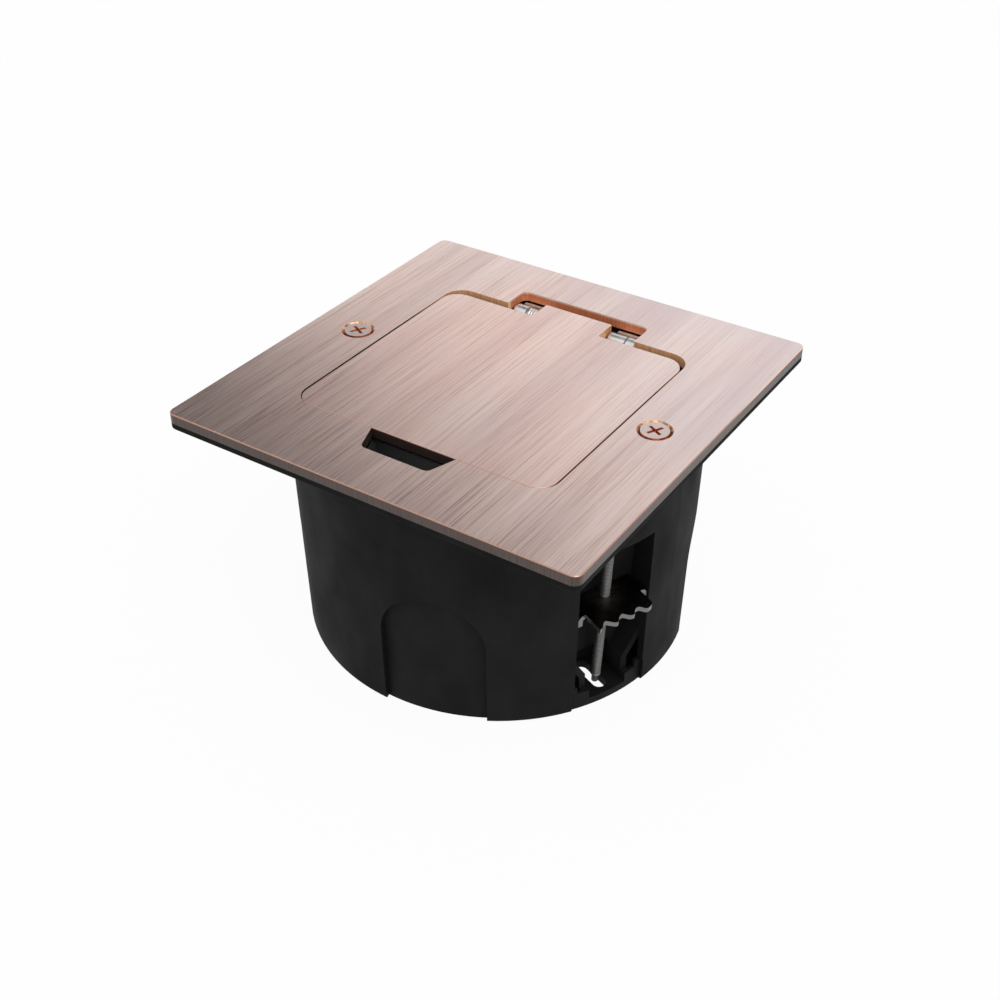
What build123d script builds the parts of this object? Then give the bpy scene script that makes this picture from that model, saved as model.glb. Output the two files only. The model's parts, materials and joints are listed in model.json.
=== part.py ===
from build123d import *
import os
from math import cos, pi, radians, sin, tan

os.makedirs("parts", exist_ok=True)

# Millimetres. The origin is the centre of the box's base, +Z is up out of the floor,
# +Y points to the lid's hinge and +X to the right-hand cover screw.

# Cover plate with its lid opening, hinge recess and finger notch
plate_side = 130.0
plate_thickness = 3.0
plate_corner_radius = 2.5
plate_edge_chamfer = 0.25
opening_side_setback = 18.3
opening_front_setback = 19.2
opening_back_setback = 20.7
opening_corner_radius = 6.2
recess_half_width = 22.1
recess_reach = 9.4
recess_corner_radius = 2.2
notch_half_width = 13.7
notch_foot_half_width = 10.7
notch_reach = 8.6
notch_corner_radius = 2.0

# Gasket under the plate
gasket_thickness = 2.0
gasket_edge_radius = 0.6
gasket_setback = 0.5

# Lid and its hinge tab
lid_side_gap = 0.5
lid_front_gap = 0.15
lid_back_gap = 2.9
lid_edge_chamfer = 0.12
tab_half_width = 11.5
tab_reach = 8.2

# Hinge: leaf under the lid, pin, bracket and torsion spring
pin_radius = 1.25
pin_setback = 4.0
pin_drop = 4.6
pin_end_overhang = 0.9
pin_head_radius = 2.0
pin_head_thickness = 0.8
clip_thickness = 0.5
clip_ring = 1.0
clip_gap = 0.05
clip_mouth = 1.8
running_clearance = 0.05
leaf_thickness = 1.2
leaf_overlap = 2.7
leaf_pin_gap = 1.2
knuckle_wall = 1.2
knuckle_tab_gap = 0.5
right_knuckle_length = 5.5
left_knuckle_length = 1.0
leaf_wing_reach = 1.6
leaf_wing_gap = 0.3
leaf_screw_spacing = 16.0
leaf_screw_radius = 1.25
leaf_screw_head_radius = 2.3
leaf_screw_bite = 2.2
bracket_thickness = 1.2
bracket_end_gap = 1.2
bracket_front_reach = 5.0
bracket_back_reach = 4.8
bracket_wall_height = 8.6
bracket_wall_tab_gap = 0.9
bracket_low_wall = 3.0
right_ear_length = 2.8
left_ear_length = 3.7
ear_wall = 1.3
bracket_screw_spacing = 14.0
bracket_screw_radius = 1.5
bracket_screw_head_radius = 2.6
bracket_screw_length = 5.0
bracket_screw_boss = 3.0
spring_wire = 0.8
spring_turns = 3.25
spring_pitch = 0.87
spring_knuckle_gap = 0.2
spring_leaf_leg = 4.4
spring_leg_lap = 0.3

# Carrier frame: round flange, socket tray, finger well and hinge trough
flange_thickness = 2.0
flange_wall_gap = 0.5
tray_wall = 2.0
tray_floor = 2.0
tray_depth = 10.5
tray_corner_radius = 4.0
trough_leaf_gap = 0.2
trough_end_gap = 2.3
trough_back_gap = 0.2
trough_depth = 7.0
trough_wall = 1.6
trough_floor = 1.8
trough_corner_radius = 1.5
well_depth = 7.0
well_lip_reach = 1.65
well_wall = 1.6
well_side_gap = 0.3
well_flat = 3.0
well_sill = 2.0
frame_screw_front_x = 26.0
frame_screw_back_x = 28.5
frame_screw_rim_gap = 0.5
frame_screw_radius = 1.5
frame_screw_head_radius = 2.5
frame_screw_head_height = 1.8
frame_screw_bite = 2.0
rib_thickness = 1.6
rib_drop = 5.0
rib_rim_gap = 3.0
rib_spacing = 28.0

# Lid seal on the flange, in from the lid's edges
seal_width = 3.0
seal_margin = 0.2
seal_side_setback = 0.7
seal_well_gap = 0.4
seal_trough_gap = 0.7
seal_corner_radius = 3.0

# Flush box: drafted cup with arched conduit panels
box_height = 73.0
cup_top_radius = 59.7
cup_base_radius = 58.2
cup_wall = 2.5
cup_floor = 2.5
cup_edge_radius = 1.5
panel_half_width = 15.2
panel_arch_height = 27.0
panel_inset = 2.1
panel_wall = 1.6
panel_spread = 51.5
boss_setback = 9.7
boss_radius = 4.5
boss_rib_width = 5.0

# Cover screws and their threaded inserts
screw_radius = 2.0
screw_length = 18.5
screw_hole_gap = 0.2
countersink_radius = 5.0
countersink_angle = 90.0
head_radius = 4.0
head_seat_gap = 0.02
cross_length = 5.0
cross_width = 0.95
cross_depth = 1.5
cross_taper = 8.0
cross_turn = -29.0
small_cross_share = 0.65
pan_crown_share = 0.4
insert_radius = 2.9
insert_length = 8.0
insert_groove = 0.35
pilot_depth = 26.0

# Claw fixings, on a line through the box's axis
claw_azimuth = -23.3
claw_lean = 4.0
claw_height = 35.7
claw_setback = 5.834
claw_travel_up = 16.0
claw_travel_down = 12.0
window_half_width = 12.0
window_top = 55.0
window_steps = ((12.0, 8.0), (10.2, 5.7), (6.3, 4.2))
window_foot_half_width = 12.5
window_foot_inset = 1.4
pocket_setback = 3.6
pocket_wall = 2.0
pocket_ledge = 3.5
funnel_top = 16.8
funnel_foot = 25.4
channel_half_width = 6.3
channel_reach = 11.9
channel_top = 13.0
slot_reach = 10.8
slot_lead = 1.6
slot_width = 4.0
claw_thickness = 1.5
claw_half_width = 11.6
claw_flange_depth = 3.8
claw_bend_radius = 2.0
claw_rear = 3.1
claw_shoulder = 4.1
tongue_half_width = 9.3
tongue_reach = 9.8
tooth_pitch = 5.4
tooth_depth = 1.0
tooth_phase = 9.1
claw_collar_wall = 1.3
claw_collar_depth = 2.0
claw_screw_radius = 1.5
claw_screw_foot = 33.8
claw_point_radius = 1.0
claw_point_length = 2.6
claw_head_radius = 2.5
claw_head_height = 2.0
claw_head_relief = 0.4
claw_clip_radius = 3.2
claw_clip_thickness = 0.6
claw_clip_gap = 0.1
claw_clip_teeth = 6
claw_clip_notch = 0.9

# Socket module on the tray
bezel_side = 50.0
bezel_thickness = 3.0
bezel_corner_radius = 2.0
module_side = 44.4
module_corner_radius = 3.0
module_gap = 0.4
skirt_wall = 1.4
skirt_drop = 5.5
plug_well_radius = 19.6
plug_well_depth = 17.5
plug_well_wall = 1.6
plug_well_floor = 2.5
pin_pitch = 19.0
pin_hole_radius = 2.75
guide_width = 3.0
guide_depth = 1.4
guide_top_gap = 2.0
latch_spacing = 26.0
latch_width = 6.0
latch_thickness = 1.2
latch_length = 10.5
latch_hook = 1.0
latch_hook_height = 3.0
latch_slit = 0.6
latch_gap = 0.05
body_depth = 20.5
body_wall = 2.0
body_floor = 2.5
post_radius = 3.5
shoulder_radius = 4.8
shoulder_height = 11.5
socket_screw_radius = 1.45
socket_screw_head_radius = 2.9
socket_screw_head_height = 1.9
socket_screw_length = 11.0
strap_width = 6.0
strap_thickness = 0.8
strap_slot_gap = 0.5
strap_leg_setback = 1.2
strap_clip_start = 9.0
strap_clip_bend = 12.4
strap_clip_tip = 16.3
strap_clip_reach = 2.9
strap_tip_setback = 0.6
strap_tail_leg = 17.0
strap_tail_end = 12.6
strap_screw_y = 14.8
contact_thickness = 0.8
contact_gap = 4.4
contact_width = 7.0
contact_height = 11.0
contact_mouth = 0.7
contact_mouth_height = 2.0
contact_seat = 3.0
contact_tail = 17.5
contact_tail_width = 6.0
terminal_reach = 14.0
terminal_radius = 1.7
terminal_length = 7.0
terminal_head_radius = 2.8
terminal_head_height = 1.6
terminal_boss_radius = 3.4
wire_window_width = 7.0
wire_window_height = 7.0
earth_window_offset = 9.5
shutter_thickness = 2.5
shutter_hub_radius = 5.6
shutter_reach = 12.9
shutter_half_width = 3.4
shutter_land = 2.4
shutter_ramp_drop = 1.7
shutter_gap = 0.1
shutter_spring_wire = 0.5
shutter_spring_pitch = 0.8
shutter_spring_turns = 3
shutter_spring_leg = 1.2

# Levels
gasket_level = box_height
plate_level = gasket_level + gasket_thickness
plate_top = plate_level + plate_thickness
flange_level = box_height - flange_thickness
tray_level = box_height - tray_depth
trough_level = box_height - trough_depth
bezel_top = tray_level + bezel_thickness
well_floor_top = bezel_top - plug_well_depth
module_bottom = well_floor_top - plug_well_floor
body_bottom = module_bottom - body_depth
body_floor_top = body_bottom + body_floor
strap_level = module_bottom - strap_thickness
contact_level = body_floor_top + contact_seat

# Opening, boss and claw lines, set back from the cup's wall
opening_half_width = cup_top_radius - opening_side_setback
opening_front = cup_top_radius - opening_front_setback
opening_back = cup_top_radius - opening_back_setback
boss_offset = cup_top_radius - boss_setback
cup_reach = max(cup_top_radius, cup_base_radius)

# Lid and hinge lines
lid_half_width = opening_half_width - lid_side_gap
lid_front = opening_front - lid_front_gap
lid_back = opening_back - lid_back_gap
lid_corner_radius = opening_corner_radius - lid_side_gap
recess_back = opening_back + recess_reach
pin_y = opening_back + pin_setback
pin_z = plate_top - pin_drop
leaf_level = plate_level - leaf_thickness
leaf_front = lid_back - leaf_overlap
leaf_back = pin_y - pin_radius - leaf_pin_gap
leaf_screw_y = (leaf_front + leaf_back) / 2
knuckle_radius = pin_radius + running_clearance + knuckle_wall
knuckle_start = tab_half_width + knuckle_tab_gap
knuckle_end = knuckle_start + left_knuckle_length
bracket_half_length = recess_half_width - bracket_end_gap
ear_radius = pin_radius + running_clearance + ear_wall
spring_radius = plate_level - pin_z + spring_wire / 2

# Carrier, seal and cup lines
trough_front = leaf_front - trough_leaf_gap
trough_back = recess_back - trough_back_gap
trough_half_width = bracket_half_length + trough_end_gap
well_back = lid_front - well_lip_reach
seal_half_width = lid_half_width - seal_side_setback
seal_front = well_back - seal_well_gap
seal_back = trough_front - seal_trough_gap
tray_half_width = seal_half_width - seal_width - seal_margin
tray_front = seal_front - seal_width - seal_margin
tray_back = seal_back - seal_width - seal_margin
socket_y = (tray_back - tray_front) / 2
flange_radius = cup_top_radius - cup_wall - flange_wall_gap
frame_screw_circle = flange_radius - frame_screw_head_radius - frame_screw_rim_gap
frame_screw_spots = [
    (side * x, end * (frame_screw_circle**2 - x**2) ** 0.5)
    for x, end in ((frame_screw_front_x, -1), (frame_screw_back_x, 1))
    for side in (-1, 1)
]
cover_screw_spots = ((boss_offset, 0), (-boss_offset, 0))
claw_azimuths = (claw_azimuth, claw_azimuth + 180)
panel_azimuths = [a + side * panel_spread for a in claw_azimuths for side in (-1, 1)]
boss_top = flange_level


def cup_radius(height, inset=0.0):
    # Radius of the drafted wall at a height, less an inset
    draft = (cup_top_radius - cup_base_radius) / box_height
    return cup_base_radius + draft * height - inset


claw_offset = cup_radius(claw_height) - claw_setback
channel_back = claw_offset - channel_reach
slot_back = claw_offset - slot_reach
slot_front = claw_offset + slot_lead
ledge_height = (window_top - claw_height) * cos(radians(claw_lean)) + (
    cup_radius(window_top) - claw_offset
) * sin(radians(claw_lean))
head_seat = ledge_height + pocket_ledge


def wall_ring(inset, outset):
    # Ring that follows the draft of the wall, from an inset to an outset
    margin = 1.0
    with BuildPart() as ring:
        with BuildSketch(Plane.XZ):
            Polygon(
                (cup_radius(-margin, inset), -margin),
                (cup_radius(-margin, -outset), -margin),
                (cup_radius(box_height, -outset), box_height),
                (cup_radius(box_height, inset), box_height),
                align=None,
            )
        revolve(axis=Axis.Z)
    return ring.part


def radial_plane(azimuth, distance):
    # Upright plane across a radius, its local x sideways and y up
    a = radians(azimuth)
    return Plane(
        origin=(distance * cos(a), distance * sin(a), 0),
        x_dir=(-sin(a), cos(a), 0),
        z_dir=(cos(a), sin(a), 0),
    )


def claw_frame(azimuth):
    # Frame on the leaning claw screw: z along the screw, x outwards, y sideways
    a = radians(azimuth)
    lean = radians(claw_lean)
    return Plane(
        origin=(claw_offset * cos(a), claw_offset * sin(a), claw_height),
        x_dir=(cos(lean) * cos(a), cos(lean) * sin(a), -sin(lean)),
        z_dir=(sin(lean) * cos(a), sin(lean) * sin(a), cos(lean)),
    )


def across_claw(frame, x):
    # Plane across the claw's outward direction, its local x sideways and y up the screw
    return Plane(origin=frame.origin + frame.x_dir * x, x_dir=frame.y_dir, z_dir=frame.x_dir)


def opening_outline(grow=0.0):
    # Lid opening, hinge recess and finger notch as one outline
    with BuildSketch() as outline:
        with Locations((0, (opening_back - opening_front) / 2)):
            RectangleRounded(
                2 * opening_half_width, opening_front + opening_back, opening_corner_radius
            )
        with Locations((0, opening_back)):
            Rectangle(2 * recess_half_width, 2 * recess_reach)
        fillet(outline.vertices().group_by(Axis.Y)[-1], recess_corner_radius)
        with BuildLine():
            Polyline(
                (-notch_half_width, 1 - opening_front),
                (-notch_half_width, -opening_front),
                (-notch_foot_half_width, -opening_front - notch_reach),
                (notch_foot_half_width, -opening_front - notch_reach),
                (notch_half_width, -opening_front),
                (notch_half_width, 1 - opening_front),
                close=True,
            )
        make_face()
        fillet(outline.vertices().group_by(Axis.Y)[0], notch_corner_radius)
        if grow:
            offset(amount=grow, kind=Kind.INTERSECTION)
    return outline.sketch


def span_rectangle(half_width, front, back, radius):
    # Rounded rectangle from a front edge to a back edge, about the Y axis
    with BuildSketch() as outline:
        with Locations((0, (back - front) / 2)):
            RectangleRounded(2 * half_width, front + back, radius)
    return outline.sketch


def cross_recess(plane, share=1.0):
    # Tapered cross slot for a screwdriver, cut down into a head
    with BuildPart() as cross:
        with BuildSketch(plane):
            Rectangle(cross_length * share, cross_width * share)
            Rectangle(cross_width * share, cross_length * share)
        extrude(amount=-cross_depth * share, taper=cross_taper)
    return cross.part


def countersunk_screw(top_radius, shank_radius, length, rim=0.0):
    # Cone-headed screw hanging down from the origin, its head with an upright rim or none
    cone = (top_radius - shank_radius) / tan(radians(countersink_angle / 2))
    rim_edge = [(top_radius, -rim)] if rim > 0 else []
    with BuildPart() as screw:
        with BuildSketch(Plane.XZ):
            Polygon(
                (0, 0),
                (top_radius, 0),
                *rim_edge,
                (shank_radius, -rim - cone),
                (shank_radius, -length),
                (0, -length),
                align=None,
            )
        revolve(axis=Axis.Z)
    return screw.part


def pan_screw(top_radius, head_height, shank_radius, length):
    # Pan-headed screw, its head standing on the origin and its shank below
    with BuildPart() as screw:
        with BuildSketch(Plane.XZ):
            Polygon(
                (top_radius - head_height * pan_crown_share, head_height),
                (0, head_height),
                (0, -length),
                (shank_radius, -length),
                (shank_radius, 0),
                (top_radius, 0),
                (top_radius, head_height * (1 - pan_crown_share)),
                align=None,
            )
        revolve(axis=Axis.Z)
    return screw.part


def well_outline(back, grow):
    # Outline of the finger well, grown from the notch and run back under the lid's lip
    with BuildSketch() as outline:
        with BuildLine():
            Polyline(
                (-notch_half_width, -back - grow),
                (-notch_half_width, -opening_front),
                (-notch_foot_half_width, -opening_front - notch_reach),
                (notch_foot_half_width, -opening_front - notch_reach),
                (notch_half_width, -opening_front),
                (notch_half_width, -back - grow),
                close=True,
            )
        make_face()
        fillet(outline.vertices().group_by(Axis.Y)[0], notch_corner_radius)
        offset(amount=grow, kind=Kind.INTERSECTION)
    return outline.sketch


def arch_prism(azimuth, grow):
    # Upright prism through the wall in the shape of a conduit panel
    with BuildPart() as prism:
        with BuildSketch(radial_plane(azimuth, cup_base_radius - panel_half_width)):
            Rectangle(
                2 * (panel_half_width + grow), panel_arch_height, align=(Align.CENTER, Align.MIN)
            )
            with Locations((0, panel_arch_height)):
                Circle(panel_half_width + grow)
        extrude(amount=2 * panel_half_width)
    return prism.part


def foot_block(azimuth):
    # Block through the wall under a claw window, as high as the window's first step
    with BuildPart() as block:
        with BuildSketch(radial_plane(azimuth, cup_base_radius - panel_half_width)):
            Rectangle(
                2 * window_foot_half_width, window_steps[0][1], align=(Align.CENTER, Align.MIN)
            )
        extrude(amount=2 * panel_half_width)
    return block.part


def edge_reach(y):
    # Reach of the claw's wavy edge at a sideways place
    return tongue_reach + tooth_depth * cos(2 * pi * (y + tooth_phase) / tooth_pitch)


def looking_down(x, y, height):
    # Plane that faces the floor, for what is fitted from below
    return Plane(origin=(x, y, height), z_dir=(0, 0, -1))


# Cover plate
with BuildPart() as cover_plate:
    with BuildSketch(Plane.XY.offset(plate_level)):
        RectangleRounded(plate_side, plate_side, plate_corner_radius)
    extrude(amount=plate_thickness)
    chamfer(cover_plate.faces().sort_by(Axis.Z)[-1].edges(), plate_edge_chamfer)
    with BuildSketch(Plane.XY.offset(plate_level)):
        add(opening_outline())
    extrude(amount=plate_thickness, mode=Mode.SUBTRACT)
    with Locations(*[(x, y, plate_top) for x, y in cover_screw_spots]):
        CounterSinkHole(
            screw_radius + screw_hole_gap,
            countersink_radius,
            counter_sink_angle=countersink_angle,
        )
    with BuildSketch(Plane.XY.offset(plate_level)):
        with Locations(*frame_screw_spots):
            Circle(frame_screw_radius + running_clearance)
    extrude(amount=frame_screw_bite + running_clearance, mode=Mode.SUBTRACT)
cover_plate.part.label = "cover_plate"
export_step(cover_plate.part, "parts/cover_plate.step")

# Gasket, its lower rim rounded
with BuildPart() as plate_gasket:
    with BuildSketch(Plane.XY.offset(gasket_level)):
        RectangleRounded(plate_side, plate_side, plate_corner_radius)
    extrude(amount=gasket_thickness)
    fillet(plate_gasket.faces().sort_by(Axis.Z)[0].edges(), gasket_edge_radius)
    with BuildSketch(Plane.XY.offset(gasket_level)):
        add(opening_outline(gasket_setback))
        with Locations(*cover_screw_spots):
            Circle(screw_radius + screw_hole_gap)
        with Locations(*frame_screw_spots):
            Circle(frame_screw_radius + screw_hole_gap)
    extrude(amount=gasket_thickness, mode=Mode.SUBTRACT)
plate_gasket.part.label = "plate_gasket"
export_step(plate_gasket.part, "parts/plate_gasket.step")

# Lid with its hinge tab
with BuildPart() as lid:
    with BuildSketch(Plane.XY.offset(plate_level)):
        add(span_rectangle(lid_half_width, lid_front, lid_back, lid_corner_radius))
        with Locations((0, lid_back)):
            Rectangle(2 * tab_half_width, 2 * tab_reach)
    extrude(amount=plate_thickness)
    chamfer(lid.faces().sort_by(Axis.Z)[-1].edges(), lid_edge_chamfer)
    with BuildSketch(Plane.XY.offset(plate_level)):
        with Locations((0, leaf_screw_y)):
            with GridLocations(leaf_screw_spacing, 0, 2, 1):
                Circle(leaf_screw_radius + running_clearance)
    extrude(amount=leaf_screw_bite + running_clearance, mode=Mode.SUBTRACT)
lid.part.label = "lid"
export_step(lid.part, "parts/lid.step")

# Hinge leaf: flat under the lid, rolled round the pin beside the tab, with a wing
# on the left that the spring presses on
with BuildPart() as hinge_leaf:
    with BuildSketch(Plane.XY.offset(leaf_level)):
        with BuildLine():
            Polyline(
                (-knuckle_end - leaf_wing_reach, leaf_front),
                (knuckle_start + right_knuckle_length, leaf_front),
                (knuckle_start + right_knuckle_length, pin_y),
                (knuckle_start, pin_y),
                (knuckle_start, leaf_back),
                (-knuckle_start, leaf_back),
                (-knuckle_start, pin_y),
                (-knuckle_end, pin_y),
                (-knuckle_end, leaf_back - leaf_wing_gap),
                (-knuckle_end - leaf_wing_reach, leaf_back - leaf_wing_gap),
                close=True,
            )
        make_face()
    extrude(amount=leaf_thickness)
    for start, length in (
        (knuckle_start, right_knuckle_length),
        (-knuckle_end, left_knuckle_length),
    ):
        with BuildSketch(Plane.YZ.offset(start)):
            with Locations((pin_y, pin_z)):
                Circle(knuckle_radius)
        extrude(amount=length)
    with BuildSketch(Plane.YZ.offset(-bracket_half_length)):
        with Locations((pin_y, pin_z)):
            Circle(pin_radius + running_clearance)
    extrude(amount=2 * bracket_half_length, mode=Mode.SUBTRACT)
    with Locations(looking_down(0, leaf_screw_y, leaf_level)):
        with GridLocations(leaf_screw_spacing, 0, 2, 1):
            CounterSinkHole(
                leaf_screw_radius + running_clearance,
                leaf_screw_head_radius,
                counter_sink_angle=countersink_angle,
            )
hinge_leaf.part.label = "hinge_leaf"
export_step(hinge_leaf.part, "parts/hinge_leaf.step")

# Leaf screws, countersunk from below into the lid
with BuildPart() as hinge_leaf_screws:
    for side in (-1, 1):
        with Locations(looking_down(side * leaf_screw_spacing / 2, leaf_screw_y, leaf_level)):
            add(
                countersunk_screw(
                    leaf_screw_head_radius - running_clearance,
                    leaf_screw_radius,
                    leaf_thickness + leaf_screw_bite,
                )
            )
hinge_leaf_screws.part.label = "hinge_leaf_screws"
export_step(hinge_leaf_screws.part, "parts/hinge_leaf_screws.step")

# Hinge bracket: base in the trough, back wall cut low behind the tab, two bored ears
wall_gap_half = tab_half_width + bracket_wall_tab_gap
with BuildPart() as hinge_bracket:
    with BuildSketch(Plane.YZ.offset(-bracket_half_length)):
        with BuildLine():
            Polyline(
                (pin_y - bracket_front_reach, trough_level),
                (pin_y + bracket_back_reach, trough_level),
                (pin_y + bracket_back_reach, trough_level + bracket_wall_height),
                (
                    pin_y + bracket_back_reach - bracket_thickness,
                    trough_level + bracket_wall_height,
                ),
                (
                    pin_y + bracket_back_reach - bracket_thickness,
                    trough_level + bracket_thickness,
                ),
                (pin_y - bracket_front_reach, trough_level + bracket_thickness),
                close=True,
            )
        make_face()
    extrude(amount=2 * bracket_half_length)
    with BuildSketch(Plane.XZ.offset(-pin_y)):
        with Locations((0, trough_level + bracket_low_wall)):
            Rectangle(2 * wall_gap_half, bracket_wall_height, align=(Align.CENTER, Align.MIN))
    extrude(amount=-2 * bracket_back_reach, mode=Mode.SUBTRACT)
    for start, length in (
        (bracket_half_length - right_ear_length, right_ear_length),
        (-bracket_half_length, left_ear_length),
    ):
        with BuildSketch(Plane.YZ.offset(start)):
            with Locations((pin_y, pin_z)):
                Circle(ear_radius)
                Rectangle(2 * ear_radius, pin_z - trough_level, align=(Align.CENTER, Align.MAX))
        extrude(amount=length)
    with BuildSketch(Plane.YZ.offset(-bracket_half_length)):
        with Locations((pin_y, pin_z)):
            Circle(pin_radius + running_clearance)
    extrude(amount=2 * bracket_half_length, mode=Mode.SUBTRACT)
    with Locations((0, pin_y, trough_level + bracket_thickness)):
        with GridLocations(bracket_screw_spacing, 0, 2, 1):
            CounterSinkHole(
                bracket_screw_radius + running_clearance,
                bracket_screw_head_radius,
                counter_sink_angle=countersink_angle,
            )
hinge_bracket.part.label = "hinge_bracket"
export_step(hinge_bracket.part, "parts/hinge_bracket.step")

# Bracket screws, countersunk into the bracket's base
with BuildPart() as hinge_bracket_screws:
    for side in (-1, 1):
        with Locations(
            (side * bracket_screw_spacing / 2, pin_y, trough_level + bracket_thickness)
        ):
            add(
                countersunk_screw(
                    bracket_screw_head_radius - running_clearance,
                    bracket_screw_radius,
                    bracket_screw_length,
                )
            )
hinge_bracket_screws.part.label = "hinge_bracket_screws"
export_step(hinge_bracket_screws.part, "parts/hinge_bracket_screws.step")

# Hinge pin with a flat head on the left
with BuildPart() as hinge_pin:
    with BuildSketch(Plane.YZ.offset(-bracket_half_length)):
        with Locations((pin_y, pin_z)):
            Circle(pin_radius)
    extrude(amount=2 * bracket_half_length + pin_end_overhang)
    chamfer(hinge_pin.faces().sort_by(Axis.X)[-1].edges(), pin_radius / 5)
    with BuildSketch(Plane.YZ.offset(-bracket_half_length)):
        with Locations((pin_y, pin_z)):
            Circle(pin_head_radius)
    extrude(amount=-pin_head_thickness)
hinge_pin.part.label = "hinge_pin"
export_step(hinge_pin.part, "parts/hinge_pin.step")

# Open retaining clip on the pin's free end
with BuildPart() as hinge_pin_clip:
    with BuildSketch(Plane.YZ.offset(bracket_half_length + clip_gap)):
        with Locations((pin_y, pin_z)):
            Circle(pin_radius + clip_ring)
            Circle(pin_radius + head_seat_gap, mode=Mode.SUBTRACT)
            Rectangle(
                clip_mouth, 2 * pin_head_radius, align=(Align.CENTER, Align.MAX), mode=Mode.SUBTRACT
            )
    extrude(amount=clip_thickness)
hinge_pin_clip.part.label = "hinge_pin_clip"
export_step(hinge_pin_clip.part, "parts/hinge_pin_clip.step")

# Torsion spring round the pin: one leg on the leaf's wing, the other on the bracket
spring_plane = Plane(
    origin=(-knuckle_end - spring_knuckle_gap - spring_wire / 2, pin_y, pin_z),
    x_dir=(0, 0, 1),
    z_dir=(-1, 0, 0),
)
spring_coil = spring_plane * Helix(spring_pitch, spring_pitch * spring_turns, spring_radius)
spring_foot = pin_z - trough_level - bracket_thickness - running_clearance
with BuildPart() as hinge_spring:
    with BuildSketch(Plane(origin=spring_coil @ 0, x_dir=(0, 0, 1), z_dir=spring_coil % 0)):
        RegularPolygon(spring_wire / 2, 6)
    sweep(path=spring_coil, is_frenet=True)
    with BuildSketch(
        Plane(origin=(spring_coil @ 0) + Vector(0, spring_leg_lap, 0), z_dir=(0, -1, 0))
    ):
        RegularPolygon(spring_wire / 2, 6)
    extrude(amount=spring_leaf_leg + spring_leg_lap)
    with BuildSketch(
        Plane(origin=(spring_coil @ 1) + Vector(0, 0, spring_leg_lap), z_dir=(0, 0, -1))
    ):
        RegularPolygon(spring_wire / 2, 6)
    extrude(amount=spring_foot + spring_leg_lap)
hinge_spring.part.label = "hinge_spring"
export_step(hinge_spring.part, "parts/hinge_spring.step")

# Carrier frame hung from the plate: flange, socket tray, finger well, hinge trough
well_level = box_height - well_depth
well_end = opening_front + notch_reach + well_side_gap
with BuildPart() as finger_well:
    with BuildSketch(Plane.XY.offset(well_level)):
        add(well_outline(well_back, well_side_gap))
    extrude(amount=well_depth)
    with BuildSketch(Plane.YZ.offset(-notch_half_width - well_side_gap)):
        with BuildLine():
            Polyline(
                (-well_back - well_flat, well_level),
                (-well_back, well_level),
                (-well_back, box_height),
                (-well_end, box_height),
                (-well_end, box_height - well_sill),
            )
            ThreePointArc(
                (-well_end, box_height - well_sill),
                (
                    -well_end + (well_end - well_back - well_flat) * (1 - sin(radians(45))),
                    well_level + (well_depth - well_sill) * (1 - sin(radians(45))),
                ),
                (-well_back - well_flat, well_level),
            )
        make_face()
    extrude(amount=2 * (notch_half_width + well_side_gap), mode=Mode.INTERSECT)

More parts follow.
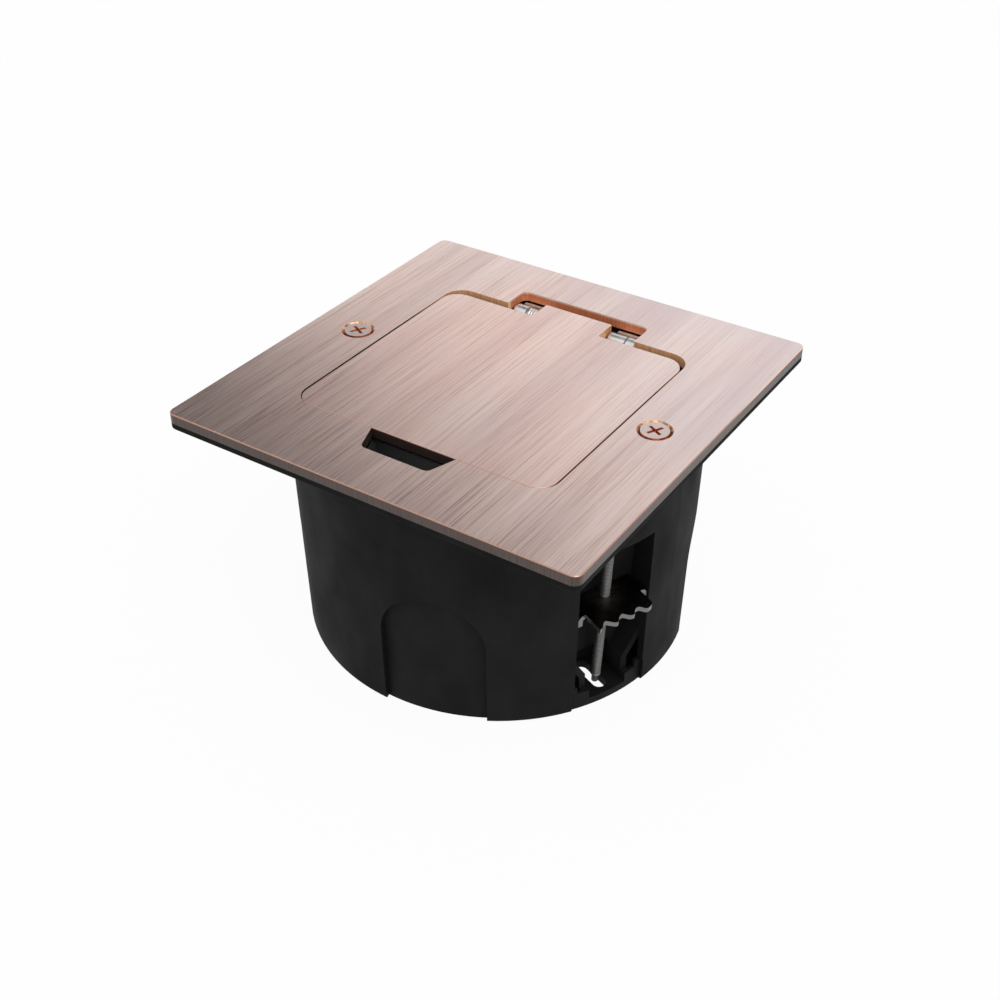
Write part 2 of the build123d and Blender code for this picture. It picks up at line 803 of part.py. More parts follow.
with BuildPart() as carrier_frame:
    with BuildSketch(Plane.XY.offset(flange_level)):
        Circle(flange_radius)
    extrude(amount=flange_thickness)
    with BuildSketch(Plane.XY.offset(tray_level - tray_floor)):
        add(
            span_rectangle(
                tray_half_width + tray_wall,
                tray_front + tray_wall,
                tray_back + tray_wall,
                tray_corner_radius + tray_wall,
            )
        )
    extrude(amount=tray_depth + tray_floor - flange_thickness)
    with BuildSketch(Plane.XY.offset(trough_level - trough_floor)):
        with Locations((0, (trough_back + trough_wall + tray_back + tray_wall / 2) / 2)):
            RectangleRounded(
                2 * (trough_half_width + trough_wall),
                trough_back + trough_wall - tray_back - tray_wall / 2,
                trough_corner_radius + trough_wall,
            )
    extrude(amount=trough_depth + trough_floor - flange_thickness)
    with BuildSketch(Plane.XY.offset(well_level - well_wall)):
        add(well_outline(tray_front + tray_wall / 2, well_side_gap + well_wall))
    extrude(amount=well_depth + well_wall - flange_thickness)
    with BuildSketch(Plane.XY.offset(tray_level - tray_floor)):
        with Locations((0, pin_y)):
            with GridLocations(bracket_screw_spacing, 0, 2, 1):
                Circle(bracket_screw_boss)
    extrude(amount=trough_level - tray_level + tray_floor)
    for y in (-rib_spacing / 2, rib_spacing / 2):
        with BuildSketch(Plane.XZ.offset(-y)):
            for side in (-1, 1):
                Polygon(
                    (side * (tray_half_width + tray_wall / 2), flange_level),
                    (side * (tray_half_width + tray_wall / 2), flange_level - rib_drop),
                    (side * (tray_half_width + tray_wall), flange_level - rib_drop),
                    (side * (flange_radius - rib_rim_gap), flange_level),
                    align=None,
                )
        extrude(amount=rib_thickness / 2, both=True)
    with BuildSketch(Plane.XY.offset(tray_level)):
        add(span_rectangle(tray_half_width, tray_front, tray_back, tray_corner_radius))
    extrude(amount=tray_depth, mode=Mode.SUBTRACT)
    with BuildSketch(Plane.XY.offset(tray_level - tray_floor)):
        with Locations((0, socket_y)):
            RectangleRounded(
                module_side + 2 * module_gap,
                module_side + 2 * module_gap,
                module_corner_radius + module_gap,
            )
    extrude(amount=tray_floor, mode=Mode.SUBTRACT)
    with BuildSketch(Plane.XY.offset(trough_level)):
        with Locations((0, (trough_front + trough_back) / 2)):
            RectangleRounded(
                2 * trough_half_width, trough_back - trough_front, trough_corner_radius
            )
    extrude(amount=trough_depth, mode=Mode.SUBTRACT)
    add(finger_well.part, mode=Mode.SUBTRACT)
    with BuildSketch(Plane.XY.offset(flange_level)):
        with Locations(*cover_screw_spots):
            Circle(screw_radius + screw_hole_gap)
        with Locations(*frame_screw_spots):
            Circle(frame_screw_radius + screw_hole_gap)
    extrude(amount=flange_thickness, mode=Mode.SUBTRACT)
    with BuildSketch(
        Plane.XY.offset(trough_level + bracket_thickness - bracket_screw_length - screw_hole_gap)
    ):
        with Locations((0, pin_y)):
            with GridLocations(bracket_screw_spacing, 0, 2, 1):
                Circle(bracket_screw_radius + running_clearance)
    extrude(amount=bracket_screw_length, mode=Mode.SUBTRACT)
carrier_frame.part.label = "carrier_frame"
export_step(carrier_frame.part, "parts/carrier_frame.step")

# Rubber ring on the flange that the lid closes on
with BuildPart() as lid_seal:
    with BuildSketch(Plane.XY.offset(box_height)):
        add(span_rectangle(seal_half_width, seal_front, seal_back, seal_corner_radius + seal_width))
        add(
            span_rectangle(
                seal_half_width - seal_width,
                seal_front - seal_width,
                seal_back - seal_width,
                seal_corner_radius,
            ),
            mode=Mode.SUBTRACT,
        )
    extrude(amount=gasket_thickness)
lid_seal.part.label = "lid_seal"
export_step(lid_seal.part, "parts/lid_seal.step")

# Screws that hold the carrier up under the plate
with BuildPart() as frame_screws:
    for x, y in frame_screw_spots:
        with Locations(looking_down(x, y, flange_level)):
            add(
                pan_screw(
                    frame_screw_head_radius,
                    frame_screw_head_height,
                    frame_screw_radius,
                    flange_thickness + gasket_thickness + frame_screw_bite,
                )
            )
frame_screws.part.label = "frame_screws"
export_step(frame_screws.part, "parts/frame_screws.step")

# Cover screws, flush with the plate, their cones on its countersinks
head_rim = countersink_radius - head_radius - head_seat_gap
with BuildPart() as cover_screws:
    for x, y in cover_screw_spots:
        head_top = Plane(origin=(x, y, plate_top), z_dir=(0, 0, 1))
        with Locations(head_top):
            add(countersunk_screw(head_radius, screw_radius, screw_length, head_rim))
        add(cross_recess(head_top.rotated((0, 0, cross_turn))), mode=Mode.SUBTRACT)
cover_screws.part.label = "cover_screws"
export_step(cover_screws.part, "parts/cover_screws.step")

# Threaded inserts in the box's bosses, with a groove round each
with BuildPart() as screw_inserts:
    with BuildSketch(Plane.XY.offset(boss_top - insert_length)):
        with Locations(*cover_screw_spots):
            Circle(insert_radius - running_clearance)
            Circle(screw_radius + running_clearance, mode=Mode.SUBTRACT)
    extrude(amount=insert_length)
    with BuildSketch(Plane.XY.offset(boss_top - insert_length * 2 / 3)):
        with Locations(*cover_screw_spots):
            Circle(insert_radius)
            Circle(insert_radius - insert_groove, mode=Mode.SUBTRACT)
    extrude(amount=insert_length / 3, mode=Mode.SUBTRACT)
screw_inserts.part.label = "screw_inserts"
export_step(screw_inserts.part, "parts/screw_inserts.step")

# Flush box: everything inside is added first and trimmed to the outer cup, then cut
with BuildPart() as cup_envelope:
    with BuildSketch(Plane.XZ):
        Polygon(
            (0, 0), (cup_radius(0), 0), (cup_top_radius, box_height), (0, box_height), align=None
        )
    revolve(axis=Axis.Z)
    fillet(cup_envelope.faces().sort_by(Axis.Z)[0].edges(), cup_edge_radius)

with BuildPart() as flush_box:
    with BuildSketch(Plane.XZ):
        Polygon(
            (0, 0),
            (cup_radius(0), 0),
            (cup_top_radius, box_height),
            (cup_top_radius - cup_wall, box_height),
            (cup_radius(cup_floor, cup_wall), cup_floor),
            (0, cup_floor),
            align=None,
        )
    revolve(axis=Axis.Z)
    for azimuth in panel_azimuths:
        add(wall_ring(panel_inset + panel_wall, -panel_inset) & arch_prism(azimuth, panel_wall))
    with BuildSketch():
        with Locations(*cover_screw_spots):
            Circle(boss_radius)
        for side in (-1, 1):
            with Locations((side * boss_offset, 0)):
                Rectangle(
                    boss_setback,
                    boss_rib_width,
                    align=(Align.MIN if side > 0 else Align.MAX, Align.CENTER),
                )
    extrude(amount=boss_top)
    for azimuth in claw_azimuths:
        frame = claw_frame(azimuth)
        with BuildSketch(across_claw(frame, -pocket_setback - pocket_wall)):
            Polygon(
                (-window_half_width, ledge_height),
                (window_half_width, ledge_height),
                (window_half_width, -funnel_top),
                (channel_half_width, -funnel_foot),
                (channel_half_width, -claw_height),
                (-channel_half_width, -claw_height),
                (-channel_half_width, -funnel_foot),
                (-window_half_width, -funnel_top),
                align=None,
            )
            offset(amount=pocket_wall, kind=Kind.INTERSECTION)
            with Locations((0, head_seat)):
                Rectangle(
                    2 * (window_half_width + pocket_wall),
                    head_seat,
                    align=(Align.CENTER, Align.MAX),
                )
        extrude(amount=cup_reach - claw_offset + pocket_setback + pocket_wall)
        with BuildSketch(radial_plane(azimuth, channel_back - pocket_wall)):
            Rectangle(
                2 * (channel_half_width + pocket_wall),
                channel_top + pocket_wall,
                align=(Align.CENTER, Align.MIN),
            )
        extrude(amount=cup_reach - channel_back)
    add(cup_envelope.part, mode=Mode.INTERSECT)
    for azimuth in panel_azimuths:
        add(wall_ring(panel_inset, panel_wall) & arch_prism(azimuth, 0), mode=Mode.SUBTRACT)
    for azimuth in claw_azimuths:
        frame = claw_frame(azimuth)
        outer = cup_reach + pocket_wall
        with BuildSketch(across_claw(frame, -pocket_setback)):
            Polygon(
                (-window_half_width, ledge_height),
                (window_half_width, ledge_height),
                (window_half_width, -funnel_top),
                (channel_half_width, -funnel_foot),
                (-channel_half_width, -funnel_foot),
                (-window_half_width, -funnel_top),
                align=None,
            )
        extrude(amount=outer - claw_offset + pocket_setback, mode=Mode.SUBTRACT)
        with BuildSketch(radial_plane(azimuth, channel_back)):
            with Locations((0, cup_floor)):
                Rectangle(
                    2 * channel_half_width,
                    channel_top - cup_floor,
                    align=(Align.CENTER, Align.MIN),
                )
        extrude(amount=outer - channel_back, mode=Mode.SUBTRACT)
        with BuildSketch(radial_plane(azimuth, cup_base_radius - cup_wall - window_foot_inset)):
            for half_width, bottom in window_steps:
                with Locations((0, bottom)):
                    Rectangle(2 * half_width, claw_height - bottom, align=(Align.CENTER, Align.MIN))
        extrude(amount=outer - cup_base_radius + cup_wall + window_foot_inset, mode=Mode.SUBTRACT)
        add(wall_ring(window_foot_inset, pocket_wall) & foot_block(azimuth), mode=Mode.SUBTRACT)
        with BuildSketch(frame):
            Circle(claw_screw_radius + claw_clip_gap)
        extrude(amount=box_height, mode=Mode.SUBTRACT)
        with BuildSketch(frame.offset(head_seat)):
            Circle(claw_head_radius + claw_head_relief)
        extrude(amount=box_height, mode=Mode.SUBTRACT)
        with BuildSketch():
            with Locations(Pos(0, 0) * Rot(0, 0, azimuth)):
                with Locations(((slot_back + slot_front) / 2, 0)):
                    SlotOverall(slot_front - slot_back, slot_width)
        extrude(amount=cup_floor, mode=Mode.SUBTRACT)
    with Locations(*[(x, y, boss_top) for x, y in cover_screw_spots]):
        Hole(insert_radius, insert_length)
        Hole(screw_radius + screw_hole_gap, pilot_depth)
flush_box.part.label = "flush_box"
export_step(flush_box.part, "parts/flush_box.step")

# Claws of sheet steel: bent-down flanges, a drawn collar and a wavy biting edge
right_frame = claw_frame(claw_azimuth)
edge_steps = int(2 * tongue_half_width // (tooth_pitch / 4))
edge_points = [
    (edge_reach(y), y)
    for y in [
        -tongue_half_width + 2 * tongue_half_width * step / edge_steps
        for step in range(edge_steps + 1)
    ]
]
with BuildPart() as claw_right:
    with BuildSketch(across_claw(right_frame, -claw_rear)):
        with Locations((0, -claw_flange_depth / 2)):
            outside = Rectangle(2 * claw_half_width, claw_flange_depth)
        fillet(outside.vertices().sort_by(Axis.Y)[-2:], claw_bend_radius)
        with Locations((0, -(claw_flange_depth + claw_thickness) / 2)):
            inside = RectangleRounded(
                2 * (claw_half_width - claw_thickness),
                claw_flange_depth - claw_thickness,
                claw_bend_radius - claw_thickness,
                mode=Mode.SUBTRACT,
            )
        with Locations((0, -claw_flange_depth)):
            Rectangle(
                2 * (claw_half_width - claw_thickness),
                claw_flange_depth - claw_thickness,
                mode=Mode.SUBTRACT,
            )
    extrude(amount=claw_rear + claw_shoulder)
    with BuildSketch(right_frame.offset(-claw_thickness)):
        with BuildLine():
            Spline(*edge_points)
            Polyline(edge_points[-1], (0, tongue_half_width), (0, -tongue_half_width), edge_points[0])
        make_face()
    extrude(amount=claw_thickness)
    with BuildSketch(right_frame.offset(-claw_thickness)):
        Circle(claw_screw_radius + running_clearance + claw_collar_wall)
    extrude(amount=-claw_collar_depth)
    with BuildSketch(right_frame):
        Circle(claw_screw_radius + running_clearance)
    extrude(amount=-claw_thickness - claw_collar_depth, mode=Mode.SUBTRACT)
claw_right.part.label = "claw_right"
export_step(claw_right.part, "parts/claw_right.step")

with BuildPart() as claw_left:
    add(claw_right.part.rotate(Axis.Z, 180))
claw_left.part.label = "claw_left"
export_step(claw_left.part, "parts/claw_left.step")

# Claw screws with a pan head on the pocket's ledge and a dog point below
with BuildPart() as claw_screw_right:
    with Locations(right_frame.offset(head_seat)):
        add(
            pan_screw(
                claw_head_radius,
                claw_head_height,
                claw_screw_radius,
                head_seat + claw_screw_foot - claw_point_length,
            )
        )
    with Locations(right_frame.offset(claw_point_length - claw_screw_foot)):
        Cylinder(
            claw_point_radius, claw_point_length, align=(Align.CENTER, Align.CENTER, Align.MAX)
        )
    chamfer(claw_screw_right.faces().sort_by(Axis.Z)[0].edges(), claw_point_radius / 4)
    add(
        cross_recess(right_frame.offset(head_seat + claw_head_height), small_cross_share),
        mode=Mode.SUBTRACT,
    )
claw_screw_right.part.label = "claw_screw_right"
export_step(claw_screw_right.part, "parts/claw_screw_right.step")

with BuildPart() as claw_screw_left:
    add(claw_screw_right.part.rotate(Axis.Z, 180))
claw_screw_left.part.label = "claw_screw_left"
export_step(claw_screw_left.part, "parts/claw_screw_left.step")

# Star washers that keep the claw screws under the ledge
with BuildPart() as claw_clip_right:
    with BuildSketch(right_frame.offset(ledge_height - claw_clip_gap)):
        Circle(claw_clip_radius)
        Circle(claw_screw_radius + head_seat_gap, mode=Mode.SUBTRACT)
        with PolarLocations(claw_screw_radius, claw_clip_teeth):
            Rectangle(
                claw_clip_radius - claw_screw_radius, claw_clip_notch, mode=Mode.SUBTRACT
            )
    extrude(amount=-claw_clip_thickness)
claw_clip_right.part.label = "claw_clip_right"
export_step(claw_clip_right.part, "parts/claw_clip_right.step")

with BuildPart() as claw_clip_left:
    add(claw_clip_right.part.rotate(Axis.Z, 180))
claw_clip_left.part.label = "claw_clip_left"
export_step(claw_clip_left.part, "parts/claw_clip_left.step")

# Socket face: bezel, round plug well with guides, skirt and latches
strap_leg = plug_well_radius + strap_leg_setback
with BuildPart() as socket_face:
    with BuildSketch(Plane.XY.offset(tray_level)):
        with Locations((0, socket_y)):
            RectangleRounded(bezel_side, bezel_side, bezel_corner_radius)
    extrude(amount=bezel_thickness)
    fillet(socket_face.faces().sort_by(Axis.Z)[-1].edges(), bezel_corner_radius / 4)
    with BuildSketch(Plane.XY.offset(module_bottom)):
        with Locations((0, socket_y)):
            Circle(plug_well_radius + plug_well_wall)
    extrude(amount=tray_level - module_bottom)
    with BuildSketch(Plane.XY.offset(tray_level - skirt_drop)):
        with Locations((0, socket_y)):
            RectangleRounded(module_side, module_side, module_corner_radius)
            RectangleRounded(
                module_side - 2 * skirt_wall,
                module_side - 2 * skirt_wall,
                module_corner_radius - skirt_wall,
                mode=Mode.SUBTRACT,
            )
    extrude(amount=skirt_drop)
    with BuildSketch(Plane.XY.offset(tray_level - skirt_drop)):
        with Locations((0, socket_y)):
            with GridLocations(module_side - skirt_wall, latch_spacing, 2, 2):
                Rectangle(2 * skirt_wall, latch_width + 2 * latch_slit)
    extrude(amount=skirt_drop, mode=Mode.SUBTRACT)
    for end in (-1, 1):
        with BuildSketch(Plane.XZ.offset(-socket_y - end * latch_spacing / 2)):
            for side in (-1, 1):
                outside = side * module_side / 2
                Polygon(
                    (outside - side * latch_thickness, tray_level),
                    (outside - side * latch_thickness, tray_level - latch_length),
                    (outside, tray_level - latch_length),
                    (outside, tray_level - tray_floor - latch_gap - latch_hook_height),
                    (outside + side * latch_hook, tray_level - tray_floor - latch_gap - 1),
                    (outside + side * latch_hook, tray_level - tray_floor - latch_gap),
                    (outside, tray_level - tray_floor - latch_gap),
                    (outside, tray_level),
                    align=None,
                )
        extrude(amount=latch_width / 2, both=True)
    with BuildSketch(Plane.XY.offset(well_floor_top)):
        with Locations((0, socket_y)):
            Circle(plug_well_radius)
    extrude(amount=plug_well_depth, mode=Mode.SUBTRACT)
    with BuildSketch(Plane.XY.offset(well_floor_top)):
        with Locations((0, socket_y)):
            for side in (-1, 1):
                with Locations((side * (plug_well_radius + plug_well_wall / 2), 0)):
                    Rectangle(
                        guide_depth + plug_well_wall / 2,
                        guide_width,
                        align=(Align.MAX if side > 0 else Align.MIN, Align.CENTER),
                    )
    extrude(amount=plug_well_depth - guide_top_gap)
    with BuildSketch(Plane.XY.offset(module_bottom)):
        with Locations((0, socket_y)):
            for side in (-1, 1):
                with Locations((0, side * (plug_well_radius - plug_well_wall / 2))):
                    Rectangle(
                        strap_width + 2 * strap_slot_gap,
                        2 * plug_well_wall,
                        align=(Align.CENTER, Align.MIN if side > 0 else Align.MAX),
                    )
    extrude(amount=tray_level - module_bottom - strap_slot_gap, mode=Mode.SUBTRACT)
    with Locations((0, socket_y, well_floor_top)):
        with GridLocations(pin_pitch, 0, 2, 1):
            Hole(pin_hole_radius)
        Hole(socket_screw_radius + running_clearance)
socket_face.part.label = "socket_face"
export_step(socket_face.part, "parts/socket_face.step")

# Socket body: tub with a centre post, contact seats and terminal bosses
tub_inside = module_side - 2 * body_wall
with BuildPart() as socket_body:
    with BuildSketch(Plane.XY.offset(body_bottom)):
        with Locations((0, socket_y)):
            RectangleRounded(module_side, module_side, module_corner_radius)
    extrude(amount=body_depth)
    with BuildSketch(Plane.XY.offset(body_floor_top)):
        with Locations((0, socket_y)):
            RectangleRounded(tub_inside, tub_inside, module_corner_radius - body_wall)
    extrude(amount=body_depth, mode=Mode.SUBTRACT)
    with BuildSketch(Plane.XY.offset(body_floor_top)):
        with Locations((0, socket_y)):
            Circle(shoulder_radius)
    extrude(amount=shoulder_height)
    with BuildSketch(Plane.XY.offset(body_floor_top)):
        with Locations((0, socket_y)):
            Circle(post_radius)
    extrude(amount=strap_level - body_floor_top)
    with BuildSketch(Plane.XY.offset(body_floor_top)):
        with Locations((0, socket_y)):
            with GridLocations(pin_pitch, 0, 2, 1):
                Rectangle(contact_gap + 2 * contact_thickness, contact_width)
        with Locations((0, socket_y - terminal_reach)):
            with GridLocations(pin_pitch, 0, 2, 1):
                Circle(terminal_boss_radius)
        with Locations((0, socket_y + strap_screw_y)):
            Circle(terminal_boss_radius)
    extrude(amount=contact_seat)
    with BuildSketch(Plane.XY.offset(strap_level)):
        with Locations((0, socket_y)):
            Rectangle(strap_width + 2 * strap_slot_gap, 2 * module_side)
    extrude(amount=strap_thickness, mode=Mode.SUBTRACT)
    with BuildSketch(Plane.XZ.offset(-socket_y + module_side / 2)):
        with Locations((0, contact_level + contact_thickness)):
            with GridLocations(pin_pitch, 0, 2, 1):
                Rectangle(
                    wire_window_width, wire_window_height, align=(Align.CENTER, Align.MIN)
                )
    extrude(amount=-2 * body_wall, mode=Mode.SUBTRACT)
    with BuildSketch(Plane.XZ.offset(-socket_y - module_side / 2)):
        with Locations((earth_window_offset, contact_level + contact_thickness)):
            Rectangle(wire_window_width, wire_window_height, align=(Align.CENTER, Align.MIN))
    extrude(amount=2 * body_wall, mode=Mode.SUBTRACT)
    with Locations((0, socket_y, strap_level)):
        Hole(socket_screw_radius + running_clearance, socket_screw_length)
    with Locations((0, socket_y - terminal_reach, contact_level)):
        with GridLocations(pin_pitch, 0, 2, 1):
            Hole(terminal_radius + running_clearance)
    with Locations((0, socket_y + strap_screw_y, contact_level)):
        Hole(terminal_radius + running_clearance)
socket_body.part.label = "socket_body"
export_step(socket_body.part, "parts/socket_body.step")

# Centre screw of the socket module
with BuildPart() as socket_screw:
    with Locations((0, socket_y, well_floor_top)):
        add(
            pan_screw(
                socket_screw_head_radius,
                socket_screw_head_height,
                socket_screw_radius,
                socket_screw_length,
            )
        )
    add(
        cross_recess(
            Plane(
                origin=(0, socket_y, well_floor_top + socket_screw_head_height), z_dir=(0, 0, 1)
            ),
            small_cross_share,
        ),
        mode=Mode.SUBTRACT,
    )
socket_screw.part.label = "socket_screw"
export_step(socket_screw.part, "parts/socket_screw.step")

# Pin contacts: sprung leaves on a web, with a tail to the terminal
leaf_line = contact_gap / 2 + contact_thickness / 2
with BuildPart() as contact_right:
    with BuildSketch(Plane.XZ.offset(-socket_y)):
        with BuildLine():
            Polyline(
                (
                    pin_pitch / 2 - leaf_line - contact_mouth,
                    contact_level + contact_height,
                ),
                (
                    pin_pitch / 2 - leaf_line,
                    contact_level + contact_height - contact_mouth_height,
                ),
                (pin_pitch / 2 - leaf_line, contact_level + contact_thickness / 2),
                (pin_pitch / 2 + leaf_line, contact_level + contact_thickness / 2),
                (
                    pin_pitch / 2 + leaf_line,
                    contact_level + contact_height - contact_mouth_height,
                ),
                (
                    pin_pitch / 2 + leaf_line + contact_mouth,
                    contact_level + contact_height,
                ),
            )
        trace(line_width=contact_thickness)
    extrude(amount=contact_width / 2, both=True)
    with BuildSketch(Plane.XY.offset(contact_level)):
        with Locations((pin_pitch / 2, socket_y)):
            Rectangle(contact_tail_width, contact_tail, align=(Align.CENTER, Align.MAX))
        with Locations((pin_pitch / 2, socket_y - terminal_reach)):
            Circle(terminal_radius + running_clearance, mode=Mode.SUBTRACT)
    extrude(amount=contact_thickness)
contact_right.part.label = "contact_right"
export_step(contact_right.part, "parts/contact_right.step")

with BuildPart() as contact_left:
    add(contact_right.part.mirror(Plane.YZ))
contact_left.part.label = "contact_left"
export_step(contact_left.part, "parts/contact_left.step")

# Earth strap: crossing under the face, a sprung clip at each side, a leg to its terminal
clip_points = [
    (strap_leg - strap_tip_setback, strap_level + strap_clip_tip),
    (strap_leg - strap_clip_reach, strap_level + strap_clip_bend),
    (strap_leg, strap_level + strap_clip_start),
    (strap_leg, strap_level + strap_thickness / 2),
]
with BuildPart() as earth_strap:
    with BuildSketch(Plane.YZ):
        with BuildLine():
            Polyline(
                *[(socket_y + y, z) for y, z in clip_points],
                *[(socket_y - y, z) for y, z in reversed(clip_points)],
            )
        trace(line_width=strap_thickness)
        with BuildLine():
            Polyline(
                (socket_y + strap_tail_leg, strap_level + strap_thickness / 2),
                (socket_y + strap_tail_leg, contact_level + strap_thickness / 2),
                (socket_y + strap_tail_end, contact_level + strap_thickness / 2),
            )
        trace(line_width=strap_thickness)
    extrude(amount=strap_width / 2, both=True)
    with BuildSketch(Plane.XY.offset(contact_level)):
        with Locations((0, socket_y + strap_screw_y)):
            Circle(terminal_radius + running_clearance)
    extrude(amount=strap_thickness, mode=Mode.SUBTRACT)
    with BuildSketch(Plane.XY.offset(strap_level)):
        with Locations((0, socket_y)):
            Circle(socket_screw_radius + running_clearance)
    extrude(amount=strap_thickness, mode=Mode.SUBTRACT)
earth_strap.part.label = "earth_strap"
export_step(earth_strap.part, "parts/earth_strap.step")

# Terminal screws, driven up from under the body into the contacts and the strap
with BuildPart() as terminal_screws:
    for x, y in (
        (-pin_pitch / 2, socket_y - terminal_reach),
        (pin_pitch / 2, socket_y - terminal_reach),
        (0, socket_y + strap_screw_y),
    ):
        with Locations(looking_down(x, y, body_bottom)):
            add(
                pan_screw(
                    terminal_head_radius, terminal_head_height, terminal_radius, terminal_length
                )
            )
terminal_screws.part.label = "terminal_screws"
export_step(terminal_screws.part, "parts/terminal_screws.step")

# Safety shutter: a hub on the post and two ramped wings that the plug's pins push round
shutter_top = strap_level - shutter_gap
shutter_level = shutter_top - shutter_thickness
with BuildPart() as shutter_wing:
    with BuildSketch(Plane.YZ):
        Polygon(
            (-shutter_half_width, shutter_level),
            (shutter_half_width, shutter_level),
            (shutter_half_width, shutter_top),
            (shutter_land, shutter_top),
            (-shutter_half_width, shutter_top - shutter_ramp_drop),
            align=None,
        )
    extrude(amount=shutter_reach)

with BuildPart() as shutter:
    with Locations((0, socket_y, 0)):
        add(shutter_wing.part)
        add(shutter_wing.part.rotate(Axis.Z, 180))
    with BuildSketch(Plane.XY.offset(shutter_level)):
        with Locations((0, socket_y)):
            Circle(shutter_hub_radius)
    extrude(amount=shutter_thickness)
    with BuildSketch(Plane.XY.offset(shutter_level)):
        with Locations((0, socket_y)):
            Circle(shutter_reach)
    extrude(amount=shutter_thickness, mode=Mode.INTERSECT)
    with Locations((0, socket_y, shutter_top)):
        Hole(post_radius + running_clearance)
shutter.part.label = "shutter"
export_step(shutter.part, "parts/shutter.step")

# Return spring of the shutter, coiled round the post on its shoulder
shutter_spring_radius = (
    post_radius + running_clearance + (shoulder_radius - post_radius) / 2
)
return_coil = Pos(0, socket_y, body_floor_top + shoulder_height + shutter_spring_wire / 2) * Helix(
    shutter_spring_pitch, shutter_spring_pitch * shutter_spring_turns, shutter_spring_radius
)
with BuildPart() as shutter_spring:
    with BuildSketch(Plane(origin=return_coil @ 0, x_dir=(0, 0, 1), z_dir=return_coil % 0)):
        RegularPolygon(shutter_spring_wire / 2, 6)
    sweep(path=return_coil, is_frenet=True)
    for end in (0, 1):
        with BuildSketch(Plane(origin=return_coil @ end, x_dir=(0, 0, 1), z_dir=(1, 0, 0))):
            RegularPolygon(shutter_spring_wire / 2, 6)
        extrude(amount=shutter_spring_leg)
shutter_spring.part.label = "shutter_spring"
export_step(shutter_spring.part, "parts/shutter_spring.step")
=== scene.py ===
import json
from math import cos, pi, radians, sin

import bpy
import numpy as np
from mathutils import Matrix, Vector


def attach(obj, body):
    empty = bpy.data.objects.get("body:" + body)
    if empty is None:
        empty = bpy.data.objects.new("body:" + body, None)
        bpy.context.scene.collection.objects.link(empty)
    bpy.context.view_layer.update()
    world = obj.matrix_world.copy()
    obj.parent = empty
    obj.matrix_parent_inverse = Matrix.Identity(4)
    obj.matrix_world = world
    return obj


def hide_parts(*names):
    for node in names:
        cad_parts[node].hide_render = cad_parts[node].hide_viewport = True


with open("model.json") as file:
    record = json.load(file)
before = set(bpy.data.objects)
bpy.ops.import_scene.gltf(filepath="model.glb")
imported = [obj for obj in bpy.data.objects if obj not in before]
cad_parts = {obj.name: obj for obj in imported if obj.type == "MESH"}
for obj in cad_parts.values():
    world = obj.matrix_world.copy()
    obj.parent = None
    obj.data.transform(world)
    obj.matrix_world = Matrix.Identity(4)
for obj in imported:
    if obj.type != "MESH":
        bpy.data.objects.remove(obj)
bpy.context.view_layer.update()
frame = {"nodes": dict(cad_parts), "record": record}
print("frame loaded:", len(frame["nodes"]), "nodes")

slotOf = {part["node"]: part["material_slot"] for part in frame["record"]["subparts"]}
fullTurn = 2.0 * pi


# Camera at the photograph's angle

cameraView = {
    "place": (0.18636, -0.28145, 0.27911),
    "turn": (54.16, 0.0, 33.42),  # degrees
    "lens": 50.0,
    "sensor": 36.0,
    "clipStart": 0.01,
}


def makeCamera(view):
    # a camera at place, turned about X, Y and Z
    data = bpy.data.cameras.new("photoCamera")
    data.lens = view["lens"]
    data.sensor_width = view["sensor"]
    data.clip_start = view["clipStart"]
    camera = bpy.data.objects.new("photoCamera", data)
    camera.location = view["place"]
    camera.rotation_euler = [radians(angle) for angle in view["turn"]]
    bpy.context.collection.objects.link(camera)
    bpy.context.scene.camera = camera


makeCamera(cameraView)
print("camera placed")


# Surfaces worked out as whole arrays


def gridPiece(name, surface, wrap=True, poles=True):
    # quads between neighbours of a (rows, columns, 3) grid
    # wrap closes each row into a ring; poles fans each end row to its mean
    rows, columns = surface.shape[:2]
    vertices = surface.reshape(-1, 3)
    ring = np.arange(columns if wrap else columns - 1)
    after = (ring + 1) % columns
    start = np.arange(rows - 1)[:, None] * columns
    corners = [start + ring, start + after, start + columns + after, start + columns + ring]
    faces = np.stack(corners, axis=-1).reshape(-1, 4).tolist()
    if poles:
        vertices = np.vstack([vertices, surface[0].mean(axis=0), surface[-1].mean(axis=0)])
        first, last = rows * columns, rows * columns + 1
        top = (rows - 1) * columns
        faces += np.stack([after, ring, np.full(columns, first)], axis=-1).tolist()
        faces += np.stack([top + ring, top + after, np.full(columns, last)], axis=-1).tolist()
    mesh = bpy.data.meshes.new(name)
    mesh.from_pydata(vertices.tolist(), [], faces)
    mesh.polygons.foreach_set("use_smooth", np.ones(len(mesh.polygons), dtype=bool))
    mesh.update()
    piece = bpy.data.objects.new(name, mesh)
    bpy.context.collection.objects.link(piece)
    return piece


def wireSurface(path, radius, sides):
    # path + radius * (cosine * outward + sine * sideways), a circle carried along the path
    # outward = tangent x pin direction X, sideways = tangent x outward
    tangent = np.gradient(path, axis=0)
    tangent /= np.linalg.norm(tangent, axis=1, keepdims=True)
    outward = np.cross(tangent, (1.0, 0.0, 0.0))
    outward /= np.linalg.norm(outward, axis=1, keepdims=True)
    sideways = np.cross(tangent, outward)
    angle = np.linspace(0.0, fullTurn, sides, endpoint=False)[None, :, None]
    circle = np.cos(angle) * outward[:, None] + np.sin(angle) * sideways[:, None]
    return path[:, None] + radius * circle


# Torsion spring: round wire coiled on the pin, one leg on the bracket and one on the leaf

